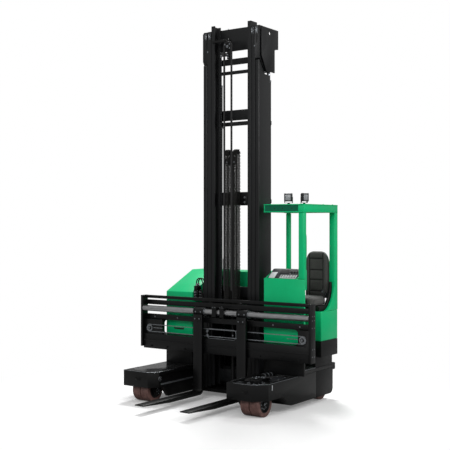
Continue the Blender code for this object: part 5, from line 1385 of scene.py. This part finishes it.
def makeLamp(name, node, x, y, turn, look):
    # Built facing -Y about its own centre, then turned; a deep rim round a ribbed lens
    piece = newPiece()
    half, lens = look["lampHalf"], look["lampLens"]
    body = half - 0.004
    shapes = []
    for low, high in ((-body, -lens), (lens, body)):
        shapes.append(("plastic", blockShape((low, high), (-0.030, 0.006), (0.026, 0.117), 0.004)))
        shapes.append(("plastic", blockShape((-body, body), (-0.030, 0.006),
                                             (0.0715 + low, 0.0715 + high), 0.004)))
    shapes.append(("plastic", blockShape((-body, body), (-0.012, 0.012), (0.028, 0.115), 0.006)))
    shapes.append(("plastic", blockShape((-0.031, 0.031), (0.010, 0.024), (0.040, 0.103), 0.005)))
    for k in range(5):
        z = 0.045 + k * 0.0132
        shapes.append(("plastic", blockShape((-0.030, 0.030), (0.018, 0.030),
                                             (z, z + 0.004), 0.001)))
    shapes.append(("lens", blockShape((-lens - 0.001, lens + 0.001), (-0.022, -0.016),
                                      (0.0385, 0.1045), 0.002)))
    for k in range(look["lampRibs"]):
        across = -lens + (k + 0.5) * 2 * lens / look["lampRibs"]
        shapes.append(("lens", blockShape((across - 0.0024, across + 0.0024), (-0.0245, -0.0205),
                                          (0.041, 0.102), 0.0010)))
    # Strap with its pivot bolts, and the foot
    for side in (-1, 1):
        shapes.append(("black", blockShape((side * body, side * half), (-0.009, 0.009),
                                           (0.012, 0.078), 0.0012)))
        shapes.append(("zinc", rodShape(0.0075, "X", (0, 0, 0.0715),
                                        *sorted((side * (body - 0.002), side * half)), 14, 0.001)))
    shapes.append(("black", blockShape((-half, half), (-0.010, 0.010), (0.0100, 0.0145), 0.001)))
    shapes.append(("black", rodShape(0.014, "Z", (0, 0, 0), 0.0, 0.012, 18, 0.0015)))
    matrix = Matrix.Translation((x, y, 2.230)) @ Matrix.Rotation(turn, 4, "Z")
    for finish, shape in shapes:
        bmesh.ops.transform(shape, matrix=matrix, verts=shape.verts)
        pour(piece, shape, finish)
        shape.free()
    finishPiece(name, piece, "chassis", (node,))


def makeConsoleTop(look):
    # Laid on the sloped face: u is X, v runs up the slope, and height stands off it
    piece = newPiece()
    (lowY, lowZ), (highY, highZ) = look["slopeLow"], look["slopeHigh"]
    slope = math.atan2(highZ - lowZ, highY - lowY)
    matrix = Matrix.Translation((0, lowY, lowZ)) @ Matrix.Rotation(slope, 4, "X")

    def lay(finish, x, v, low, high, soft):
        shape = blockShape(x, v, (low, high), soft)
        bmesh.ops.transform(shape, matrix=matrix, verts=shape.verts)
        pourAll(piece, finish, shape)

    lay("pale", (0.515, 0.592), (0.006, 0.104), -0.002, 0.0015, 0.001)
    lay("plastic", (0.622, 0.748), (0.072, 0.156), -0.004, 0.006, 0.004)
    lay("rubber", (0.631, 0.739), (0.080, 0.148), 0.004, 0.0068, 0.001)
    lay("pale", (0.655, 0.862), (0.006, 0.062), -0.002, 0.0020, 0.002)
    for row in range(2):
        for column in range(6):
            x, v = 0.675 + column * 0.0335, 0.025 + row * 0.024
            lay("black" if (row + column) % 3 else "rubber", (x - 0.009, x + 0.009),
                (v - 0.007, v + 0.007), 0.001, 0.0042, 0.002)
    # Lever gaiters on the upper part
    for x in look["levers"]:
        foot = matrix @ Vector((x, 0.112, 0.0))
        for size, low, high in ((0.0150, 0.0, 0.007), (0.0118, 0.006, 0.013),
                                (0.0088, 0.012, 0.019)):
            pourAll(piece, "rubber", rodShape(size, "Z", (foot.x, foot.y, foot.z), low - 0.006,
                                              high - 0.006, 16, 0.002))
    finishPiece("console_top_parts", piece, "chassis")


def makeRoofBeam(look):
    piece = newPiece()
    lips = ((0.172, 0.186, 2.140, 2.151), (0.172, 0.186, 2.219, 2.230))
    for lowY, highY, low, high in lips:
        pourAll(piece, "green", blockShape((0.482, 0.988), (lowY, highY), (low, high), 0.003))
    # Darker green sheet between the lips: painted shade in place of the beam's recess
    pourAll(piece, "shade", blockShape((0.492, 0.919), (0.1835, 0.1860), (2.151, 2.219), 0.0))
    pourAll(piece, "green", blockShape((0.9860, 0.9960), (0.200, 0.950), (2.141, 2.150), 0.003),
            blockShape((0.9860, 0.9960), (0.200, 0.950), (2.220, 2.229), 0.003))
    # Dark discs for the three holes in the beam: painted shade of the openings
    for x in look["roofHoles"]:
        pourAll(piece, "rubber", rodShape(0.007, "Y", (x, 0, 2.184), 0.1828, 0.1855, 20, 0.0005))
    # Bolts over the posts
    for x, y, z in ((0.935, 0.215, 2.232), (0.350, 0.932, 2.232), (0.955, 0.900, 2.232),
                    (0.955, 0.680, 2.232)):
        pourAll(piece, "green", boltShape(0.008, 0.006, "Z", (x, y, z - 0.003)))
    finishPiece("roof_beam_parts", piece, "chassis")


def makeCabFittings(look):
    piece = newPiece()
    grab = smoothRoute(((0.965, 0.243, 1.912), (0.966, 0.262, 1.900), (0.967, 0.272, 1.870),
                        (0.967, 0.274, 1.760), (0.967, 0.272, 1.650), (0.966, 0.262, 1.612),
                        (0.965, 0.243, 1.600)), 6)
    pourAll(piece, "green", tubeShape(grab, look["grabRadius"], 12))
    # Floor mat and two pedals
    pourAll(piece, "rubber", blockShape((0.520, 0.900), (0.235, 0.545), (0.4000, 0.4060), 0.002))
    for k in range(11):
        y = 0.250 + k * 0.0265
        pourAll(piece, "rubber", blockShape((0.530, 0.890), (y, y + 0.010),
                                            (0.4055, 0.4090), 0.001))
    for x in (0.610, 0.740):
        pedal = blockShape((-0.032, 0.032), (-0.050, 0.050), (-0.005, 0.005), 0.003)
        bmesh.ops.rotate(pedal, cent=(0, 0, 0), matrix=Matrix.Rotation(math.radians(38), 3, "X"),
                         verts=pedal.verts)
        bmesh.ops.translate(pedal, vec=(x, 0.310, 0.452), verts=pedal.verts)
        pourAll(piece, "rubber", pedal, blockShape((x - 0.010, x + 0.010), (0.300, 0.330),
                                                   (0.404, 0.450), 0.003))
    finishPiece("cab_fittings", piece, "chassis")


def makeSeatFittings():
    # Belt buckle and stalk at the seat's right, and the slide handle
    piece = newPiece()
    stalk = smoothRoute(((0.902, 0.800, 1.120), (0.906, 0.792, 1.160), (0.904, 0.780, 1.205),
                         (0.900, 0.768, 1.228)), 6)
    pourAll(piece, "rubber", tubeShape(stalk, 0.0075, 10))
    buckle = blockShape((0.889, 0.911), (0.752, 0.776), (1.222, 1.262), 0.004)
    pourAll(piece, "plastic", buckle,
            blockShape((0.892, 0.908), (0.755, 0.765), (1.257, 1.266), 0.002))
    pourAll(piece, "zinc", blockShape((0.893, 0.907), (0.7500, 0.7535), (1.232, 1.250), 0.001))
    pourAll(piece, "plastic",
            pipeShape(0.016, 0.030, "X", (0, 0.862, 1.196), 0.884, 0.904, 28, 0.003),
            rodShape(0.017, "X", (0, 0.862, 1.196), 0.890, 0.908, 20, 0.003))
    finishPiece("seat_fittings", piece, "chassis")


makeLamp("front_lamp_parts", "front_lamp", 0.7795, 0.217, math.radians(12), cab)
makeLamp("side_lamp_parts", "side_lamp", 0.958, 0.2465, math.radians(76), cab)
makeConsoleTop(cab)
makeRoofBeam(cab)
makeCabFittings(cab)
makeSeatFittings()
print("stage: cab details")


# Hood and back: openings, seams and fittings on the green covers and the black base
covers = {
    "handleX": (-0.790, -0.640), "handleZ": (0.762, 0.792), "louvreX": (-0.870, -0.560),
    "louvreCount": 7, "louvreLow": 0.980, "louvrePitch": 0.038,
}


def makeHoodParts(look):
    piece = newPiece()
    lowX, highX = look["handleX"]
    lowZ, highZ = look["handleZ"]
    pourAll(piece, "rubber", outlineShape(roundedBox(lowX, highX, lowZ, highZ, 0.0145, 6),
                                          "Y", 0.1838, 0.1870, 0.0008))
    pourAll(piece, "green", outlineShape(roundedBox(lowX + 0.010, highX - 0.010, highZ - 0.009,
                                                    highZ - 0.002, 0.003, 4),
                                         "Y", 0.1825, 0.1865, 0.0008))
    # Louvres and hinges at the back, catches on the outer side
    for k in range(look["louvreCount"]):
        z = look["louvreLow"] + k * look["louvrePitch"]
        slope = [(0.9555, z), (0.9630, z - 0.006), (0.9640, z - 0.003), (0.9555, z + 0.012)]
        pourAll(piece, "green", outlineShape(slope, "X", *look["louvreX"], 0.0))
        # Dark strip under each louvre: painted shade of the gap behind it
        pourAll(piece, "rubber", blockShape((look["louvreX"][0] + 0.004,
                                                look["louvreX"][1] - 0.004),
                                            (0.9560, 0.9578), (z - 0.0065, z - 0.0005), 0.0))
    for x in (-0.830, -0.600):
        pourAll(piece, "black", rodShape(0.008, "X", (0, 0.9600, 1.405), x - 0.035, x + 0.035, 14),
                blockShape((x - 0.033, x + 0.033), (0.9555, 0.9585), (1.360, 1.400), 0.001))
    for y in (0.330, 0.800):
        pourAll(piece, "black", blockShape((-0.9180, -0.9090), (y - 0.022, y + 0.022),
                                           (0.722, 0.772), 0.003))
        pourAll(piece, "zinc", boltShape(0.006, 0.004, "X", (-0.9170, y, 0.757), -1))
    # Shadow gap between hood and base
    pourAll(piece, "rubber", blockShape((-0.9108, -0.5195), (0.1842, 0.9578),
                                        (0.7000, 0.7040), 0.0))
    finishPiece("hood_parts", piece, "chassis")


def makeRearParts():
    piece = newPiece()
    # Two access plates with their bolts, and the cover's catches and seam
    for low, high in ((-0.480, -0.030), (0.010, 0.450)):
        pourAll(piece, "panel", blockShape((low, high), (0.9560, 0.9600), (0.620, 1.180), 0.0015))
        for x in (low + 0.022, (low + high) / 2, high - 0.022):
            for z in (0.642, 1.158):
                pourAll(piece, "zinc", boltShape(0.007, 0.005, "Y", (x, 0.9600, z)))
        for k in range(9):
            z = 0.720 + k * 0.030
            pourAll(piece, "rubber", blockShape((low + 0.070, high - 0.070), (0.9592, 0.9606),
                                                (z, z + 0.010), 0.0))
    pourAll(piece, "rubber", blockShape((-0.520, 0.325), (0.5992, 0.9578), (1.2400, 1.2440), 0.0))
    for x in (-0.360, 0.180):
        pourAll(piece, "black", blockShape((x - 0.020, x + 0.020), (0.9555, 0.9640),
                                           (1.262, 1.318), 0.003))
        pourAll(piece, "zinc", rodShape(0.0055, "Y", (x, 0, 1.300), 0.9620, 0.9665, 14, 0.001))
    # Drawbar pin in its pocket; the pocket's back is a dark sheet, painted shade
    pourAll(piece, "rubber", blockShape((-0.060, 0.060), (0.9565, 0.9585), (0.430, 0.520), 0.0))
    for z in (0.425, 0.519):
        pourAll(piece, "black", blockShape((-0.070, 0.070), (0.9560, 1.0100),
                                           (z, z + 0.012), 0.003))
    pourAll(piece, "zinc", rodShape(0.014, "Z", (0, 0.985, 0), 0.410, 0.560, 20, 0.002),
            rodShape(0.022, "Z", (0, 0.985, 0), 0.548, 0.560, 20, 0.003))
    finishPiece("rear_parts", piece, "chassis")


def makeReachParts():
    # Arch plate on the free-lift head, and the worn bar at the foot of the outer mast
    piece = newPiece()
    arch = [(-0.095, 2.700), (0.075, 2.700), (0.075, 2.770)]
    arch += arcPoints(-0.010, 2.775, 0.075, 0, math.pi, 16)
    arch += [(-0.095, 2.770)]
    pourAll(piece, "panel", outlineShape(arch, "Y", 0.2415, 0.2475, 0.001))
    pourAll(piece, "zinc", boltShape(0.008, 0.007, "Y", (-0.060, 0.2415, 2.722), -1),
            boltShape(0.008, 0.007, "Y", (0.040, 0.2415, 2.722), -1))
    finishPiece("lift_head_plate", piece, "lift_head")
    piece = newPiece()
    pourAll(piece, "chrome", blockShape((-0.490, -0.405), (0.2235, 0.2300), (0.106, 0.122), 0.002))
    for x in (-0.470, -0.425, 0.425, 0.470):
        for z in (0.160, 0.300):
            pourAll(piece, "zinc", boltShape(0.009, 0.006, "Y", (x, 0.2300, z), -1))
    finishPiece("reach_carriage_parts", piece, "mast_base")


makeHoodParts(covers)
makeRearParts()
makeReachParts()
print("stage: hood and back")
